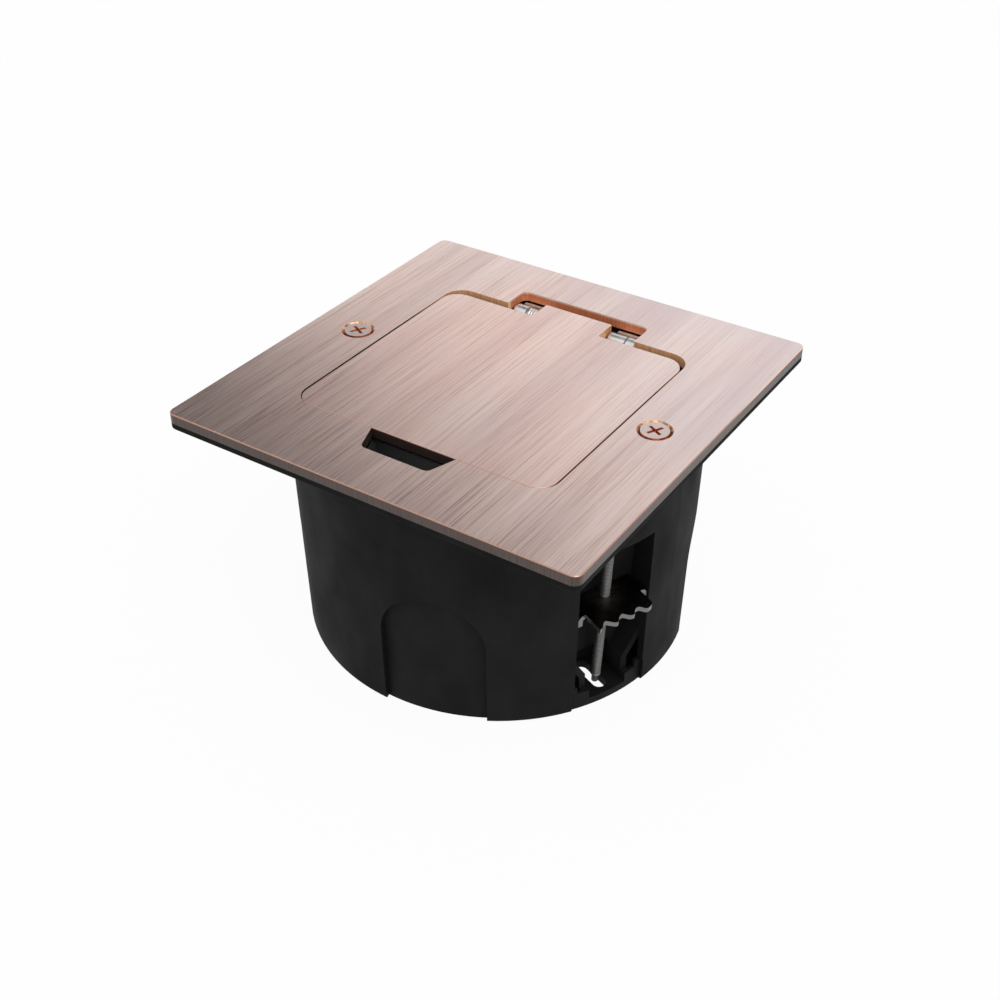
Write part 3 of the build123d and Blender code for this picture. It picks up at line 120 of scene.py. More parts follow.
hingeJoints = frame["record"]["behaviour"]["joints"]
hingePlace = next(joint["pos_m"] for joint in hingeJoints if joint["name"] == "lid_hinge")
hingeSpring = {
    "pin": (hingePlace[1], hingePlace[2]),  # y and z of the pin
    "firstTurn": -0.01365,  # x of the first turn
    "coilRadius": 0.002,
    "wireRadius": 0.0004,
    "pitch": 0.00087,
    "turns": 3.25,
    "leafLeg": 0.0044,
    "footLevel": 0.06725,
    "sides": 16,
    "coilRows": 150,
    "legRows": 9,
}


def coilPath(spring):
    # helix: x falls by the pitch each turn, y = pin + radius * sine, z = pin + radius * cosine
    # then straight down to the foot
    turn = np.linspace(0.0, fullTurn * spring["turns"], spring["coilRows"])
    helix = np.stack([
        spring["firstTurn"] - spring["pitch"] * turn / fullTurn,
        spring["pin"][0] + spring["coilRadius"] * np.sin(turn),
        spring["pin"][1] + spring["coilRadius"] * np.cos(turn),
    ], axis=-1)
    drop = np.linspace(0.0, 1.0, spring["legRows"])[1:, None]
    foot = helix[-1] * (1.0, 1.0, 0.0) + (0.0, 0.0, spring["footLevel"])
    return np.vstack([helix, helix[-1] + (foot - helix[-1]) * drop])


def leafLegPath(spring):
    # straight line along y from the leaf's wing to the top of the first turn
    pinY, pinZ = spring["pin"]
    start = (spring["firstTurn"], pinY - spring["leafLeg"], pinZ + spring["coilRadius"])
    share = np.linspace(0.0, 1.0, spring["legRows"])[:, None]
    return np.array(start) + share * (0.0, spring["leafLeg"], 0.0)


wireSize = (hingeSpring["wireRadius"], hingeSpring["sides"])
springCoil = gridPiece("hinge_spring_coil", wireSurface(coilPath(hingeSpring), *wireSize))
springLeg = gridPiece("hinge_spring_leaf_leg", wireSurface(leafLegPath(hingeSpring), *wireSize))
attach(springCoil, "box")
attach(springLeg, "lid")
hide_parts("hinge_spring")
print("hinge spring wound")


# Claw screws: rolled M3 thread, dog point and cross-recessed pan head

clawScrew = {
    "reach": 0.0531,  # distance of the screw's middle from the cup's axis
    "level": 0.0357,
    "lean": 4.0,  # degrees
    "azimuths": {"right": -23.3, "left": 156.7},
    "majorRadius": 0.0015,
    "threadDepth": 0.00028,
    "pitch": 0.0005,
    "threadPower": 0.8,  # below 1 the crests are sharp and the roots wide
    "threadStop": 0.0006,  # plain neck below the head
    "tip": -0.0338,
    "tipRing": 0.0003,
    "dogRadius": 0.001,
    "dogLength": 0.0026,
    "dogEdge": 0.00015,
    "pointChamfer": 0.0004,
    "headSeat": 0.02319,
    "headRadius": 0.0025,
    "headHeight": 0.002,
    "headEdge": 0.0001,
    "crown": 0.0008,
    "crownPower": 2.4,
    "poleRadius": 0.0001,
    "recessReach": 0.0014,
    "recessWidth": 0.00034,
    "recessDepth": 0.0009,
    "recessFade": 0.00025,
    "columns": 48,
    "rowsPerTurn": 6,
    "crownRows": 26,
}


def screwProfile(spec):
    # heights and radii of the rows from the tip up, with the zone of each row
    # crown height = rim + crown * (1 - share ** crownPower)
    tip, seat, edge = spec["tip"], spec["headSeat"], spec["headEdge"]
    start = tip + spec["dogLength"] + spec["pointChamfer"]
    shank = np.linspace(start, seat, int((seat - start) / spec["pitch"] * spec["rowsPerTurn"]))
    rim = seat + spec["headHeight"] - spec["crown"]
    share = np.linspace(1.0, 0.0, spec["crownRows"])[1:]
    dog, dogEdge, wide = spec["dogRadius"], spec["dogEdge"], spec["headRadius"]
    zones = {
        "point": (
            [tip, tip, tip + dogEdge, tip + spec["dogLength"]],
            [spec["tipRing"], dog - dogEdge, dog, dog],
        ),
        "shank": (shank, np.full(len(shank), spec["majorRadius"])),
        "rim": ([seat, seat + edge, rim], [wide - edge, wide, wide]),
        "crown": (
            rim + spec["crown"] * (1.0 - share ** spec["crownPower"]),
            np.linspace(wide, spec["poleRadius"], spec["crownRows"])[1:],
        ),
    }
    heights, radii = (np.concatenate(rows) for rows in zip(*zones.values()))
    zone = np.repeat(list(zones), [len(rows[0]) for rows in zones.values()])
    return heights, radii, zone


def grooveDepth(spec, heights, zone, turn):
    # depth * wave ** power, wave = 2 * |(height / pitch - turn / full turn) mod 1 - 1/2|
    # faded in over one pitch at both ends of the shank
    onShank = zone == "shank"
    start, end = heights[onShank][0], heights[onShank][-1] - spec["threadStop"]
    wave = np.abs((heights[:, None] / spec["pitch"] - turn[None] / fullTurn) % 1.0 - 0.5) * 2.0
    fade = np.clip((heights - start) / spec["pitch"], 0.0, 1.0)
    fade = fade * np.clip((end - heights) / spec["pitch"], 0.0, 1.0)
    return spec["threadDepth"] * wave ** spec["threadPower"] * (fade * onShank)[:, None]


def screwSurface(spec, azimuth):
    # middle + radius * cosine * inPlane + radius * sine * sideways + height * axis
    # the radius loses the thread's groove, and the crown's height the two bars of the cross
    turn = np.linspace(0.0, fullTurn, spec["columns"], endpoint=False)
    heights, radii, zone = screwProfile(spec)
    radius = radii[:, None] - grooveDepth(spec, heights, zone, turn)
    across, along = radius * np.cos(turn), radius * np.sin(turn)
    inBar = np.minimum(np.abs(across), np.abs(along)) < spec["recessWidth"]
    inReach = np.clip((spec["recessReach"] - np.hypot(across, along)) / spec["recessFade"], 0.0, 1.0)
    onCrown = (zone == "crown")[:, None]
    height = heights[:, None] - spec["recessDepth"] * inBar * inReach * onCrown
    heading, lean = radians(azimuth), radians(spec["lean"])
    outward = np.array([cos(heading), sin(heading), 0.0])
    upward = np.array([0.0, 0.0, 1.0])
    axis = sin(lean) * outward + cos(lean) * upward
    inPlane = cos(lean) * outward - sin(lean) * upward
    sideways = np.cross(axis, inPlane)
    middle = spec["reach"] * outward + spec["level"] * upward
    return middle + across[..., None] * inPlane + along[..., None] * sideways + height[..., None] * axis


for side, azimuth in clawScrew["azimuths"].items():
    screw = gridPiece(f"claw_screw_threaded_{side}", screwSurface(clawScrew, azimuth))
    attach(screw, f"{side}_claw_screw")
    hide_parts(f"claw_screw_{side}")
print("claw screws threaded")


# Finishes, all on Object coordinates


class Finish:
    # one node material: a shader, the object's coordinates, and short calls that add noise, ramps and bumps
    def __init__(self, name, metallic=1.0, specular=0.5):
        self.material = bpy.data.materials.new(name)
        self.material.use_nodes = True
        self.tree = self.material.node_tree
        self.shader = self.tree.nodes["Principled BSDF"]
        self.shader.inputs["Metallic"].default_value = metallic
        self.shader.inputs["Specular IOR Level"].default_value = specular
        self.place = self.tree.nodes.new("ShaderNodeTexCoord")

    def link(self, source, target):
        # source feeds target
        self.tree.links.new(source, target)

    def fill(self, sockets, values):
        # numbers and colours are set on their sockets, and outputs are linked to them
        for socket, value in zip(sockets, values):
            if isinstance(value, tuple):
                socket.default_value = (*value, 1.0)
            elif isinstance(value, (int, float)):
                socket.default_value = value
            else:
                self.link(value, socket)

    def noise(self, stretch, detail=3.0, roughness=0.5, shift=(0.0, 0.0, 0.0)):
        # noise of place * stretch + shift, where stretch is features per metre along x, y and z
        mapping = self.tree.nodes.new("ShaderNodeMapping")
        mapping.inputs["Location"].default_value = shift
        mapping.inputs["Scale"].default_value = stretch
        self.link(self.place.outputs["Object"], mapping.inputs["Vector"])
        cloud = self.tree.nodes.new("ShaderNodeTexNoise")
        cloud.inputs["Scale"].default_value = 1.0
        cloud.inputs["Detail"].default_value = detail
        cloud.inputs["Roughness"].default_value = roughness
        self.link(mapping.outputs["Vector"], cloud.inputs["Vector"])
        return cloud.outputs["Fac"]

    def ramp(self, source, stops):
        # colours or greys between places 0 and 1 of the source
        node = self.tree.nodes.new("ShaderNodeValToRGB")
        marks = node.color_ramp.elements
        for index, (place, tone) in enumerate(stops):
            mark = marks[index] if index < 2 else marks.new(place)
            mark.position = place
            mark.color = (*tone, 1.0) if isinstance(tone, tuple) else (tone, tone, tone, 1.0)
        self.link(source, node.inputs["Fac"])
        return node.outputs["Color"]

    def math(self, work, first, second=0.5):
        # work done on first and second
        node = self.tree.nodes.new("ShaderNodeMath")
        node.operation = work
        self.fill(node.inputs, (first, second))
        return node.outputs[0]

    def weighted(self, *parts):
        # sum of source * weight
        total, *others = [self.math("MULTIPLY", source, weight) for source, weight in parts]
        for other in others:
            total = self.math("ADD", total, other)
        return total

    def blend(self, share, first, second, kind="MIX"):
        # first * (1 - share) + second * share, or first * second where kind is MULTIPLY
        node = self.tree.nodes.new("ShaderNodeMix")
        node.data_type = "RGBA"
        node.blend_type = kind
        colours = [socket for socket in node.inputs if socket.type == "RGBA"]
        shares = [socket for socket in node.inputs if socket.name == "Factor" and socket.type == "VALUE"]
        self.fill((shares[0], *colours), (share, first, second))
        return next(socket for socket in node.outputs if socket.type == "RGBA")

    def bump(self, height, strength, distance):
        # the surface raised by height * distance
        node = self.tree.nodes.new("ShaderNodeBump")
        node.inputs["Strength"].default_value = strength
        node.inputs["Distance"].default_value = distance
        self.link(height, node.inputs["Height"])
        self.link(node.outputs["Normal"], self.shader.inputs["Normal"])

    def axis(self, output, which):
        # one coordinate of the object's place or normal
        node = self.tree.nodes.new("ShaderNodeSeparateXYZ")
        self.link(self.place.outputs[output], node.inputs[0])
        return node.outputs[which]

    def levelness(self):
        # |z of the normal|: one on level faces, nought on upright ones
        return self.math("ABSOLUTE", self.axis("Normal", 2))

    def length(self, first, second):
        # square root of first ** 2 + second ** 2
        squares = [self.math("MULTIPLY", side, side) for side in (first, second)]
        return self.math("SQRT", self.math("ADD", *squares))

    def reachFrom(self, aside):
        # distance in plan from the nearer of the two points at x = aside and x = -aside
        across = self.math("SUBTRACT", self.math("ABSOLUTE", self.axis("Object", 0)), aside)
        return self.length(across, self.axis("Object", 1))

    def colour(self, source):
        # source becomes the base colour
        self.link(source, self.shader.inputs["Base Color"])

    def rough(self, source):
        # source becomes the roughness
        self.link(source, self.shader.inputs["Roughness"])

    def metal(self, source):
        # source becomes the share of metal
        self.link(source, self.shader.inputs["Metallic"])


brushedBronze = {
    "noises": {  # the brushing runs along y
        "fine": {"stretch": (4300.0, 52.0, 4300.0), "roughness": 0.6},
        "middle": {"stretch": (2900.0, 30.0, 2900.0), "roughness": 0.55, "shift": (7.0, 3.0, 1.0)},
        "long": {"stretch": (640.0, 7.0, 640.0), "detail": 2.0, "shift": (1.0, 6.0, 8.0)},
        "cloudy": {"stretch": (24.0, 15.0, 24.0), "detail": 2.0, "shift": (2.0, 9.0, 4.0)},
        "bands": {"stretch": (85.0, 5.0, 85.0), "detail": 2.0, "shift": (6.0, 2.0, 3.0)},
        "wallLines": {"stretch": (2600.0, 2600.0, 90.0), "roughness": 0.6},
        "sinkMarks": {"stretch": (700.0, 700.0, 700.0), "detail": 2.0},
    },
    "weights": {"fine": 0.46, "middle": 0.38, "long": 0.16},
    "brushed": {
        "plate": [(0.37, (0.60, 0.425, 0.37)), (0.5, (0.91, 0.69, 0.625)), (0.64, (1.0, 0.84, 0.79))],
        "lid": [(0.37, (0.64, 0.44, 0.39)), (0.5, (0.95, 0.70, 0.63)), (0.64, (1.0, 0.83, 0.775))],
    },
    # pinkish grey tint: random clouds of tone plus a painted reflection that grows towards the back right
    "mauveTintAndSheen": (0.77, 0.70, 0.705),
    "tintAndSheenSpread": (0.9, 3.4, 4.6),  # share gained by clouds of random tone, and per metre along x and y as a painted reflection, paler towards the back right
    "tintAndSheenShare": [(0.38, 0.0), (0.95, 0.8)],
    "bands": [(0.38, (0.90, 0.87, 0.88)), (0.6, 1.0)],
    # painted highlight on the chamfered edges, darker towards -y as painted shade and brighter towards +y
    # as painted light
    "edge": {"front": (0.50, 0.29, 0.22), "back": (0.88, 0.60, 0.48)},
    "edgeHighlightShare": [(0.8, 1.0), (0.95, 0.0)],  # by levelness
    "backShare": [(0.015, 0.0), (0.03, 1.0)],  # by y: share of painted light, growing towards +y
    # upright walls: dark painted shade on the walls towards -y and bright copper painted light on the walls
    # towards +y
    "frontWall": {"plate": (0.065, 0.042, 0.034), "lid": (0.055, 0.036, 0.03)},
    "backWall": {"plate": (1.0, 0.60, 0.33), "lid": (0.75, 0.38, 0.18)},
    "recessFrom": 0.0405,
    "recessWallLitTones": [  # from the plate's underside up: copper brightened as painted light, with a painted highlight along the upper edge
        (0.0, (0.9, 0.32, 0.15)), (0.45, (0.9, 0.30, 0.14)),
        (0.72, (0.80, 0.26, 0.12)), (0.9, (1.0, 0.70, 0.52)),
    ],
    "plateFloor": 0.075,
    "plateThickness": 0.003,
    "wallLines": [(0.38, 0.75), (0.62, 1.0)],
    "wallShare": [(0.3, 1.0), (0.6, 0.0)],  # by levelness
    "rimFrom": 0.0645,
    "rim": [(0.35, (0.045, 0.027, 0.022)), (0.65, (0.092, 0.062, 0.053))],
    "sinkCentre": 0.05,
    "sinkReach": 0.0056,
    "sinkSteep": 0.9,  # levelness below which the countersink shows
    "sinkTone": [(0.4, (0.26, 0.14, 0.085)), (0.6, (0.78, 0.44, 0.27))],
    "metallic": [(0.3, 0.25), (0.6, 1.0)],  # by levelness
    "roughness": [(0.3, 0.27), (0.7, 0.38)],
    "bump": (0.5, 0.00005),
}


def brushedTop(finish, spec, piece, noises, streak):
    # streaks of the piece's tones, turned towards pinkish grey by clouds + x + y, and multiplied by slow
    # bands; the clouds give random tone and the x + y part is a painted reflection, paler towards the back
    # right
    aside, behind = finish.axis("Object", 0), finish.axis("Object", 1)
    byCloud, byAside, byBehind = spec["tintAndSheenSpread"]
    tintAndSheenAmount = finish.weighted((noises["cloudy"], byCloud), (aside, byAside), (behind, byBehind))
    metal = finish.ramp(streak, spec["brushed"][piece])
    # painted reflection: the pinkish grey share grows towards +x and +y
    top = finish.blend(finish.ramp(tintAndSheenAmount, spec["tintAndSheenShare"]), metal, spec["mauveTintAndSheen"])
    return finish.blend(1.0, top, finish.ramp(noises["bands"], spec["bands"]), "MULTIPLY")


def cutWall(finish, spec, piece, noises, back):
    # painted shade on the walls towards -y and painted light on bright copper towards +y, by y, multiplied
    # by the cutting lines
    # the recess, past recessFrom in y, has copper tones brightened as painted light with a painted
    # highlight along the upper edge, and the rim, past rimFrom in max(|x|, |y|), has its own tones
    # painted shade towards -y and painted light towards +y
    wall = finish.blend(back, spec["frontWall"][piece], spec["backWall"][piece])
    aside, behind = finish.axis("Object", 0), finish.axis("Object", 1)
    if piece == "plate":
        above = finish.math("SUBTRACT", finish.axis("Object", 2), spec["plateFloor"])
        rise = finish.math("MULTIPLY", above, 1.0 / spec["plateThickness"])
        inRecess = finish.math("GREATER_THAN", behind, spec["recessFrom"])
        # recess wall: painted light, with a painted highlight along its upper edge
        wall = finish.blend(inRecess, wall, finish.ramp(rise, spec["recessWallLitTones"]))
    wall = finish.blend(1.0, wall, finish.ramp(noises["wallLines"], spec["wallLines"]), "MULTIPLY")
    reach = finish.math("MAXIMUM", finish.math("ABSOLUTE", aside), finish.math("ABSOLUTE", behind))
    onRim = finish.math("GREATER_THAN", reach, spec["rimFrom"])
    return finish.blend(onRim, wall, finish.ramp(noises["wallLines"], spec["rim"]))


def bronzeFinish(spec, piece):
    # by levelness: a painted highlight on chamfered edges and brushed metal on level faces, and cut metal
    # on upright walls, with painted shade towards -y and painted light towards +y
    # raw copper in the countersinks, within sinkReach of their centres
    finish = Finish(f"brushedBronze_{piece}")
    noises = {name: finish.noise(**setting) for name, setting in spec["noises"].items()}
    streak = finish.weighted(*((noises[name], weight) for name, weight in spec["weights"].items()))
    level = finish.levelness()
    # share of painted light, growing towards +y
    back = finish.ramp(finish.axis("Object", 1), spec["backShare"])
    # painted highlight on the chamfers, shaded towards -y and lit towards +y
    edge = finish.blend(back, spec["edge"]["front"], spec["edge"]["back"])
    top = brushedTop(finish, spec, piece, noises, streak)
    top = finish.blend(finish.ramp(level, spec["edgeHighlightShare"]), top, edge)
    wall = cutWall(finish, spec, piece, noises, back)
    surface = finish.blend(finish.ramp(level, spec["wallShare"]), top, wall)
    nearSink = finish.math("LESS_THAN", finish.reachFrom(spec["sinkCentre"]), spec["sinkReach"])
    inSink = finish.math("MULTIPLY", nearSink, finish.math("LESS_THAN", level, spec["sinkSteep"]))
    finish.colour(finish.blend(inSink, surface, finish.ramp(noises["sinkMarks"], spec["sinkTone"])))
    finish.metal(finish.ramp(level, spec["metallic"]))
    finish.rough(finish.ramp(noises["fine"], spec["roughness"]))
    finish.bump(streak, *spec["bump"])
    return finish.material


mouldedPlastic = {
    "cup": {
        "dark": (0.0085, 0.0085, 0.0088), "light": (0.0145, 0.0145, 0.0148),
        "glossy": 0.58, "matt": 0.7, "specular": 0.06, "grain": 0.5,
    },
    "carrier": {
        "dark": (0.055, 0.055, 0.056), "light": (0.085, 0.085, 0.086),
        "glossy": 0.22, "matt": 0.34, "specular": 0.6, "grain": 0.25,
    },
    "gasket": {
        "dark": (0.007, 0.007, 0.007), "light": (0.013, 0.013, 0.013),
        "glossy": 0.6, "matt": 0.72, "specular": 0.05, "grain": 0.6,
    },
    "socket": {
        "dark": (0.72, 0.72, 0.70), "light": (0.80, 0.80, 0.785),
        "glossy": 0.28, "matt": 0.38, "specular": 0.5, "grain": 0.2,
    },
    "shutter": {
        "dark": (0.55, 0.55, 0.53), "light": (0.68, 0.68, 0.66),
        "glossy": 0.3, "matt": 0.45, "specular": 0.5, "grain": 0.2,
    },
}
plasticPattern = {
    "grain": {"stretch": (3200.0, 3200.0, 3200.0), "detail": 2.0},  # a third of a millimetre
    "slow": {"stretch": (70.0, 70.0, 45.0), "roughness": 0.55, "shift": (5.0, 1.0, 3.0)},
    "stops": (0.3, 0.7),
    "grainHeight": 0.00004,
}


def plasticFinish(name, spec, pattern):
    # tone from dark to light and gloss from matt to glossy by the slow noise, raised by the moulding grain
    finish = Finish(name, 0.0, spec["specular"])
    grain, slow = finish.noise(**pattern["grain"]), finish.noise(**pattern["slow"])
    low, high = pattern["stops"]
    finish.colour(finish.ramp(slow, [(low, spec["dark"]), (high, spec["light"])]))
    finish.rough(finish.ramp(slow, [(low, spec["matt"]), (high, spec["glossy"])]))
    finish.bump(grain, spec["grain"], pattern["grainHeight"])
    return finish.material


platedMetal = {
    "hingeSteel": {
        "dark": (0.62, 0.62, 0.62), "light": (0.93, 0.92, 0.90),
        "glossy": 0.26, "matt": 0.4, "stretch": (400.0, 2600.0, 2600.0), "metallic": 0.75,
    },
    "springSteel": {
        "dark": (0.7, 0.7, 0.69), "light": (0.95, 0.94, 0.92),
        "glossy": 0.24, "matt": 0.34, "stretch": (2600.0, 900.0, 900.0), "metallic": 0.75,
    },
    "screwSteel": {
        "dark": (0.28, 0.275, 0.27), "light": (0.46, 0.45, 0.44),
        "glossy": 0.4, "matt": 0.52, "stretch": (1200.0, 1200.0, 400.0), "metallic": 0.8,
    },
    "threadSteel": {
        # the dark colour for the thread roots is painted shade
        "dark": (0.36, 0.355, 0.35), "light": (0.46, 0.45, 0.44), "rootShade": (0.05, 0.048, 0.046),
        "glossy": 0.4, "matt": 0.52, "stretch": (1200.0, 1200.0, 400.0), "metallic": 0.8,
    },
    "contactBrass": {
        "dark": (0.62, 0.46, 0.2), "light": (0.86, 0.7, 0.38),
        "glossy": 0.18, "matt": 0.32, "stretch": (1500.0, 1500.0, 500.0), "metallic": 1.0,
    },
}
metalPattern = {
    "stains": {"stretch": (220.0, 220.0, 220.0), "roughness": 0.55, "shift": (3.0, 8.0, 2.0)},
    "lineRoughness": 0.6,
    "lineWeight": 0.45,
    "stainWeight": 0.55,
    "toneStops": (0.32, 0.68),
    "glossStops": (0.3, 0.7),
    # share of painted shade, by depth into the thread
    "rootShadeShare": [(0.1, 0.0), (0.6, 1.0)],
    "bump": (0.2, 0.00002),
}


def axisReach(finish, screw):
    # distance from the nearer leaning screw axis: square root of offset ** 2 + sideways ** 2
    # offset = (|outward| - reach - (height - level) * tangent of lean) * cosine of lean
    # outward and sideways are x and y turned by the azimuth
    heading, lean = radians(screw["azimuths"]["right"]), radians(screw["lean"])
    across, along, height = (finish.axis("Object", which) for which in range(3))
    outward = finish.weighted((across, cos(heading)), (along, sin(heading)))
    sideways = finish.weighted((along, cos(heading)), (across, -sin(heading)))
    rise = finish.math("MULTIPLY", finish.math("SUBTRACT", height, screw["level"]), sin(lean) / cos(lean))
    beyond = finish.math("SUBTRACT", finish.math("ABSOLUTE", outward), screw["reach"])
    offset = finish.math("MULTIPLY", finish.math("SUBTRACT", beyond, rise), cos(lean))
    return finish.length(offset, sideways)


def threadShade(finish, screw):
    # nought on the crests to one at the roots: (major radius - distance) / thread depth
    depth = finish.math("SUBTRACT", screw["majorRadius"], axisReach(finish, screw))
    return finish.math("MULTIPLY", depth, 1.0 / screw["threadDepth"])


def metalFinish(name, spec, pattern):
    # tone by lines * weight + stains * weight, gloss by stains, raised by the lines; painted shade darkens
    # the thread roots
    finish = Finish(name, spec["metallic"])
    lines = finish.noise(spec["stretch"], roughness=pattern["lineRoughness"])
    stains = finish.noise(**pattern["stains"])
    tone = finish.weighted((lines, pattern["lineWeight"]), (stains, pattern["stainWeight"]))
    low, high = pattern["toneStops"]
    metal = finish.ramp(tone, [(low, spec["dark"]), (high, spec["light"])])
    # painted shade in the thread roots
    if "rootShade" in spec:
        rootShadeShare = finish.ramp(threadShade(finish, clawScrew), pattern["rootShadeShare"])
        metal = finish.blend(rootShadeShare, metal, spec["rootShade"])
    finish.colour(metal)
    low, high = pattern["glossStops"]
    finish.rough(finish.ramp(stains, [(low, spec["glossy"]), (high, spec["matt"])]))
    finish.bump(lines, *pattern["bump"])
    return finish.material


clawSteel = {
    "stains": {"stretch": (350.0, 350.0, 350.0), "roughness": 0.55},
    "breakLines": {"stretch": (2400.0, 2400.0, 500.0), "roughness": 0.6, "shift": (4.0, 4.0, 1.0)},
    "top": [(0.3, (0.032, 0.028, 0.025)), (0.7, (0.05, 0.044, 0.04))],
    # painted reflection of the screw on the claw's top, palest near the screw
    "screwReflection": (0.34, 0.29, 0.255),
    "screwReflectionReach": (0.0016, 0.0075),
    "screwReflectionPower": 1.6,
    # painted reflection on the upright sheared faces
    "shearedFaceReflection": (0.20, 0.195, 0.19),
    "shearedFaceReflectionShare": [(0.5, 1.0), (0.8, 0.0)],  # by levelness
    "roughness": [(0.3, 0.24), (0.7, 0.36)],
    "bump": (0.25, 0.00002),
}


def clawFinish(spec):
    # flat faces are dark and glossy, sheared edges lighter as a painted reflection, with fine break lines
    # painted reflection of the screw round it, with share = max((end - distance) / (end - start), 0) **
    # power
    finish = Finish("clawSteel")
    stains, lines = finish.noise(**spec["stains"]), finish.noise(**spec["breakLines"])
    start, end = spec["screwReflectionReach"]
    inside = finish.math("SUBTRACT", end, axisReach(finish, clawScrew))
    screwReflection = finish.math("MAXIMUM", finish.math("MULTIPLY", inside, 1.0 / (end - start)), 0.0)
    screwReflectionShare = finish.math("POWER", screwReflection, spec["screwReflectionPower"])
    # painted reflection of the screw, fading with distance from its axis
    top = finish.blend(screwReflectionShare, finish.ramp(stains, spec["top"]), spec["screwReflection"])
    # painted reflection on the upright sheared faces, by levelness
    finish.colour(finish.blend(finish.ramp(finish.levelness(), spec["shearedFaceReflectionShare"]), top, spec["shearedFaceReflection"]))
    finish.rough(finish.ramp(stains, spec["roughness"]))
    finish.bump(lines, *spec["bump"])
    return finish.material


coverScrew = {
    "centre": 0.05,
    "ringPitch": 0.00032,
    "ringWeight": 0.25,
    "wear": {"stretch": (900.0, 900.0, 900.0), "roughness": 0.6},
    "wearWeight": 0.75,
    "tones": [(0.25, (0.58, 0.475, 0.45)), (0.75, (0.82, 0.69, 0.66))],
    "recess": (0.80, 0.42, 0.25),
    "recessBelow": 0.07796,
    "roughness": [(0.3, 0.24), (0.7, 0.4)],
    "bump": (0.12, 0.00002),
}


def coverScrewFinish(spec):
    # turning rings round each head: 1/2 + 1/2 * sine of (distance * full turn / pitch)
    # the recess, below recessBelow, shows copper
    finish = Finish("coverScrewSteel")
    turn = finish.math("MULTIPLY", finish.reachFrom(spec["centre"]), fullTurn / spec["ringPitch"])
    wave = finish.math("SINE", turn)
    rings = finish.math("ADD", finish.math("MULTIPLY", wave, 0.5), 0.5)
    wear = finish.noise(**spec["wear"])
    tone = finish.weighted((rings, spec["ringWeight"]), (wear, spec["wearWeight"]))
    inRecess = finish.math("LESS_THAN", finish.axis("Object", 2), spec["recessBelow"])
    finish.colour(finish.blend(inRecess, finish.ramp(tone, spec["tones"]), spec["recess"]))
    finish.rough(finish.ramp(wear, spec["roughness"]))
    finish.bump(rings, *spec["bump"])
    return finish.material


finishes = {
    "plate_bronze": bronzeFinish(brushedBronze, "plate"),
    "cover_screw_steel": coverScrewFinish(coverScrew),
    "claw_steel": clawFinish(clawSteel),
}
for slot, name, plastic in (
    ("gasket_rubber", "gasketRubber", "gasket"),
    ("cup_plastic", "cupPlastic", "cup"),
    ("carrier_plastic", "carrierPlastic", "carrier"),
    ("socket_plastic", "socketPlastic", "socket"),
    ("shutter_plastic", "shutterPlastic", "shutter"),
):
    finishes[slot] = plasticFinish(name, mouldedPlastic[plastic], plasticPattern)
for slot, name in (
    ("hinge_steel", "hingeSteel"),
    ("spring_steel", "springSteel"),
    ("screw_steel", "screwSteel"),
    ("thread_steel", "threadSteel"),
    ("contact_brass", "contactBrass"),
):
    finishes[slot] = metalFinish(name, platedMetal[name], metalPattern)


def dress(thing, material):
    # material becomes the only one of thing
    thing.data.materials.clear()
    thing.data.materials.append(material)


lidBronze = bronzeFinish(brushedBronze, "lid")
for node, thing in frame["nodes"].items():
    for holder in thing.material_slots:
        holder.material = lidBronze if node == "lid" else finishes[slotOf[node]]
for piece in (springCoil, springLeg):
    dress(piece, finishes["spring_steel"])
for side in clawScrew["azimuths"]:
    dress(bpy.data.objects[f"claw_screw_threaded_{side}"], finishes["thread_steel"])
print("finishes given:", len(finishes) + 1)


# Studio: pale floor, even sky, one soft lamp and a dark card that only reflections see

studio = {
    "target": (0.0, 0.0, 0.05),
    "skyLevel": 0.75,
    "floorReach": 4.0,
    "floorLevel": -0.0002,
    "floorColour": (0.92, 0.92, 0.92),
    "floorRoughness": 0.9,
    "floorSpecular": 0.1,
    "floorGlow": 0.95,  # share of plain white that the camera sees
    "lampPlace": (0.9, -0.5, 1.5),
    "lampSize": 1.2,
    "lampPower": 8.0,
    "cardPlace": (-0.6857, 0.4291, 0.9884),
    "cardSize": (1.338, 0.868),
    "cardRoll": 60.17,  # degrees
    "cardColour": (0.01, 0.01, 0.01),
}


def seenRays(tree):
    # maximum of camera, glossy and transmission: one for rays seen directly, mirrored or let through
    path = tree.nodes.new("ShaderNodeLightPath")
    total = path.outputs["Is Camera Ray"]
    for name in ("Is Glossy Ray", "Is Transmission Ray"):
        node = tree.nodes.new("ShaderNodeMath")
        node.operation = "MAXIMUM"
        tree.links.new(total, node.inputs[0])
        tree.links.new(path.outputs[name], node.inputs[1])
        total = node.outputs[0]
    return total


def mixShaders(tree, share, first, second, output):
    # first * (1 - share) + second * share, sent to the output's surface
    mix = tree.nodes.new("ShaderNodeMixShader")
    for source, socket in zip((share, first.outputs[0], second.outputs[0]), mix.inputs):
        tree.links.new(source, socket)
    tree.links.new(mix.outputs[0], output.inputs["Surface"])


def makeSky(spec):
    # even light of skyLevel, and plain white where it is seen
    world = bpy.data.worlds.new("studioSky")
    bpy.context.scene.world = world
    world.use_nodes = True
    tree = world.node_tree
    tree.nodes.clear()
    lighting, backdrop = tree.nodes.new("ShaderNodeBackground"), tree.nodes.new("ShaderNodeBackground")
    for background, strength in ((lighting, spec["skyLevel"]), (backdrop, 1.0)):
        background.inputs["Color"].default_value = (1.0, 1.0, 1.0, 1.0)
        background.inputs["Strength"].default_value = strength
    mixShaders(tree, seenRays(tree), lighting, backdrop, tree.nodes.new("ShaderNodeOutputWorld"))


def flatSheet(name, centre, across, along):
    # two by two grid: centre plus or minus half of each edge vector
    sides = np.array([-0.5, 0.5])
    upDown, leftRight = sides[:, None, None] * np.array(along), sides[None, :, None] * np.array(across)
    return gridPiece(name, np.array(centre) + upDown + leftRight, wrap=False, poles=False)


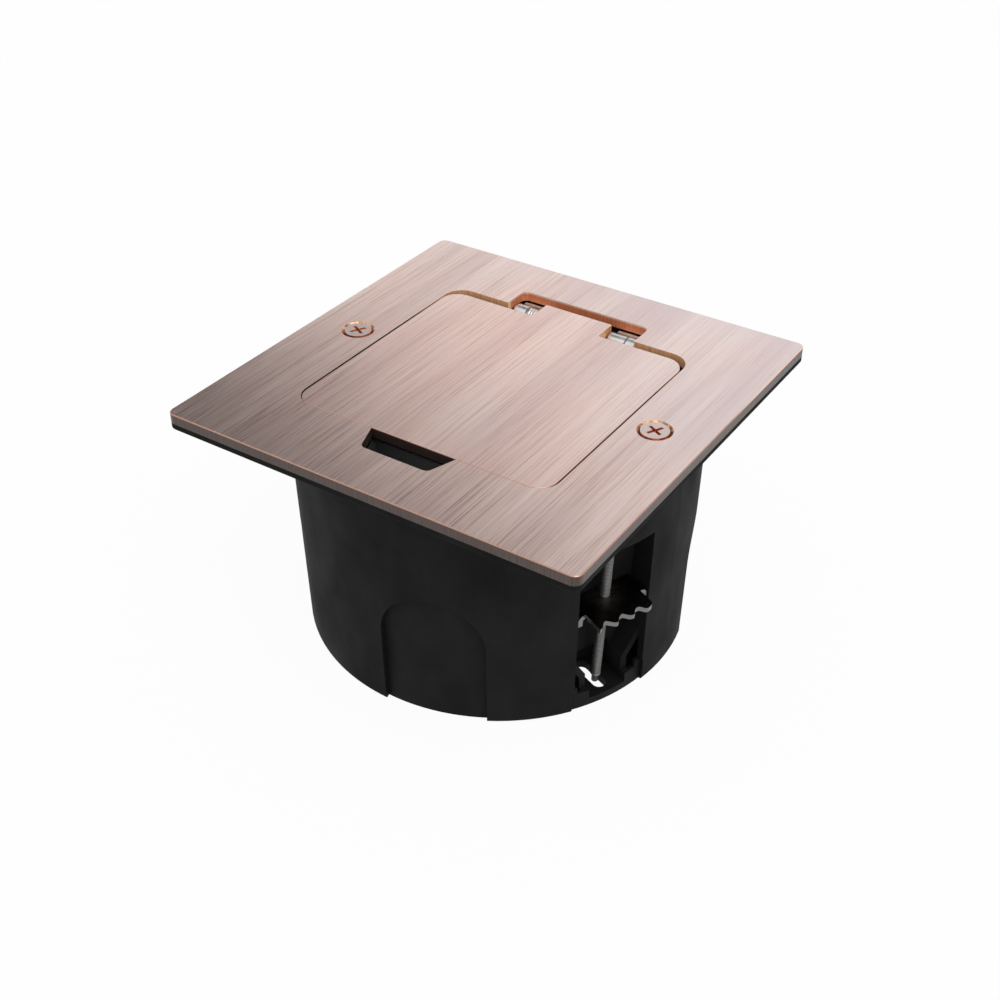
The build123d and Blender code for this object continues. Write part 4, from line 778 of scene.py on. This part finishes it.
def makeFloor(spec):
    # pale sheet that keeps the object's shadow and is nearly plain white where it is seen
    reach = spec["floorReach"]
    floor = flatSheet("studioFloor", (0.0, 0.0, spec["floorLevel"]), (reach, 0.0, 0.0), (0.0, reach, 0.0))
    material = bpy.data.materials.new("paleFloor")
    material.use_nodes = True
    tree = material.node_tree
    shader = tree.nodes["Principled BSDF"]
    shader.inputs["Base Color"].default_value = (*spec["floorColour"], 1.0)
    shader.inputs["Roughness"].default_value = spec["floorRoughness"]
    shader.inputs["Specular IOR Level"].default_value = spec["floorSpecular"]
    glow, share = tree.nodes.new("ShaderNodeEmission"), tree.nodes.new("ShaderNodeMath")
    glow.inputs["Strength"].default_value = 1.0
    share.operation = "MULTIPLY"
    share.inputs[1].default_value = spec["floorGlow"]
    tree.links.new(seenRays(tree), share.inputs[0])
    mixShaders(tree, share.outputs[0], shader, glow, tree.nodes["Material Output"])
    dress(floor, material)


def makeLamp(spec):
    # square area lamp turned to the target
    data = bpy.data.lights.new("softLamp", "AREA")
    data.shape = "SQUARE"
    data.size = spec["lampSize"]
    data.energy = spec["lampPower"]
    lamp = bpy.data.objects.new("softLamp", data)
    lamp.location = spec["lampPlace"]
    aim = Vector(spec["target"]) - Vector(spec["lampPlace"])
    lamp.rotation_euler = aim.to_track_quat("-Z", "Y").to_euler()
    bpy.context.collection.objects.link(lamp)


def makeCard(spec):
    # sheet square to the line to the target, with its sides turned by the roll about that line
    # across = cosine * level + sine * upright, along = cosine * upright - sine * level
    place = np.array(spec["cardPlace"])
    facing = np.array(spec["target"]) - place
    facing /= np.linalg.norm(facing)
    level = np.cross((0.0, 0.0, 1.0), facing)
    level /= np.linalg.norm(level)
    upright = np.cross(facing, level)
    roll = radians(spec["cardRoll"])
    wide, tall = spec["cardSize"]
    across = wide * (cos(roll) * level + sin(roll) * upright)
    along = tall * (cos(roll) * upright - sin(roll) * level)
    card = flatSheet("darkCard", place, across, along)
    material = bpy.data.materials.new("blackCard")
    material.use_nodes = True
    shader = material.node_tree.nodes["Principled BSDF"]
    shader.inputs["Base Color"].default_value = (*spec["cardColour"], 1.0)
    shader.inputs["Specular IOR Level"].default_value = 0.0
    dress(card, material)
    card.visible_camera = False
    card.visible_diffuse = False
    card.visible_shadow = False


makeSky(studio)
makeFloor(studio)
makeLamp(studio)
makeCard(studio)
bpy.context.scene.view_settings.view_transform = "Standard"
print("studio set")
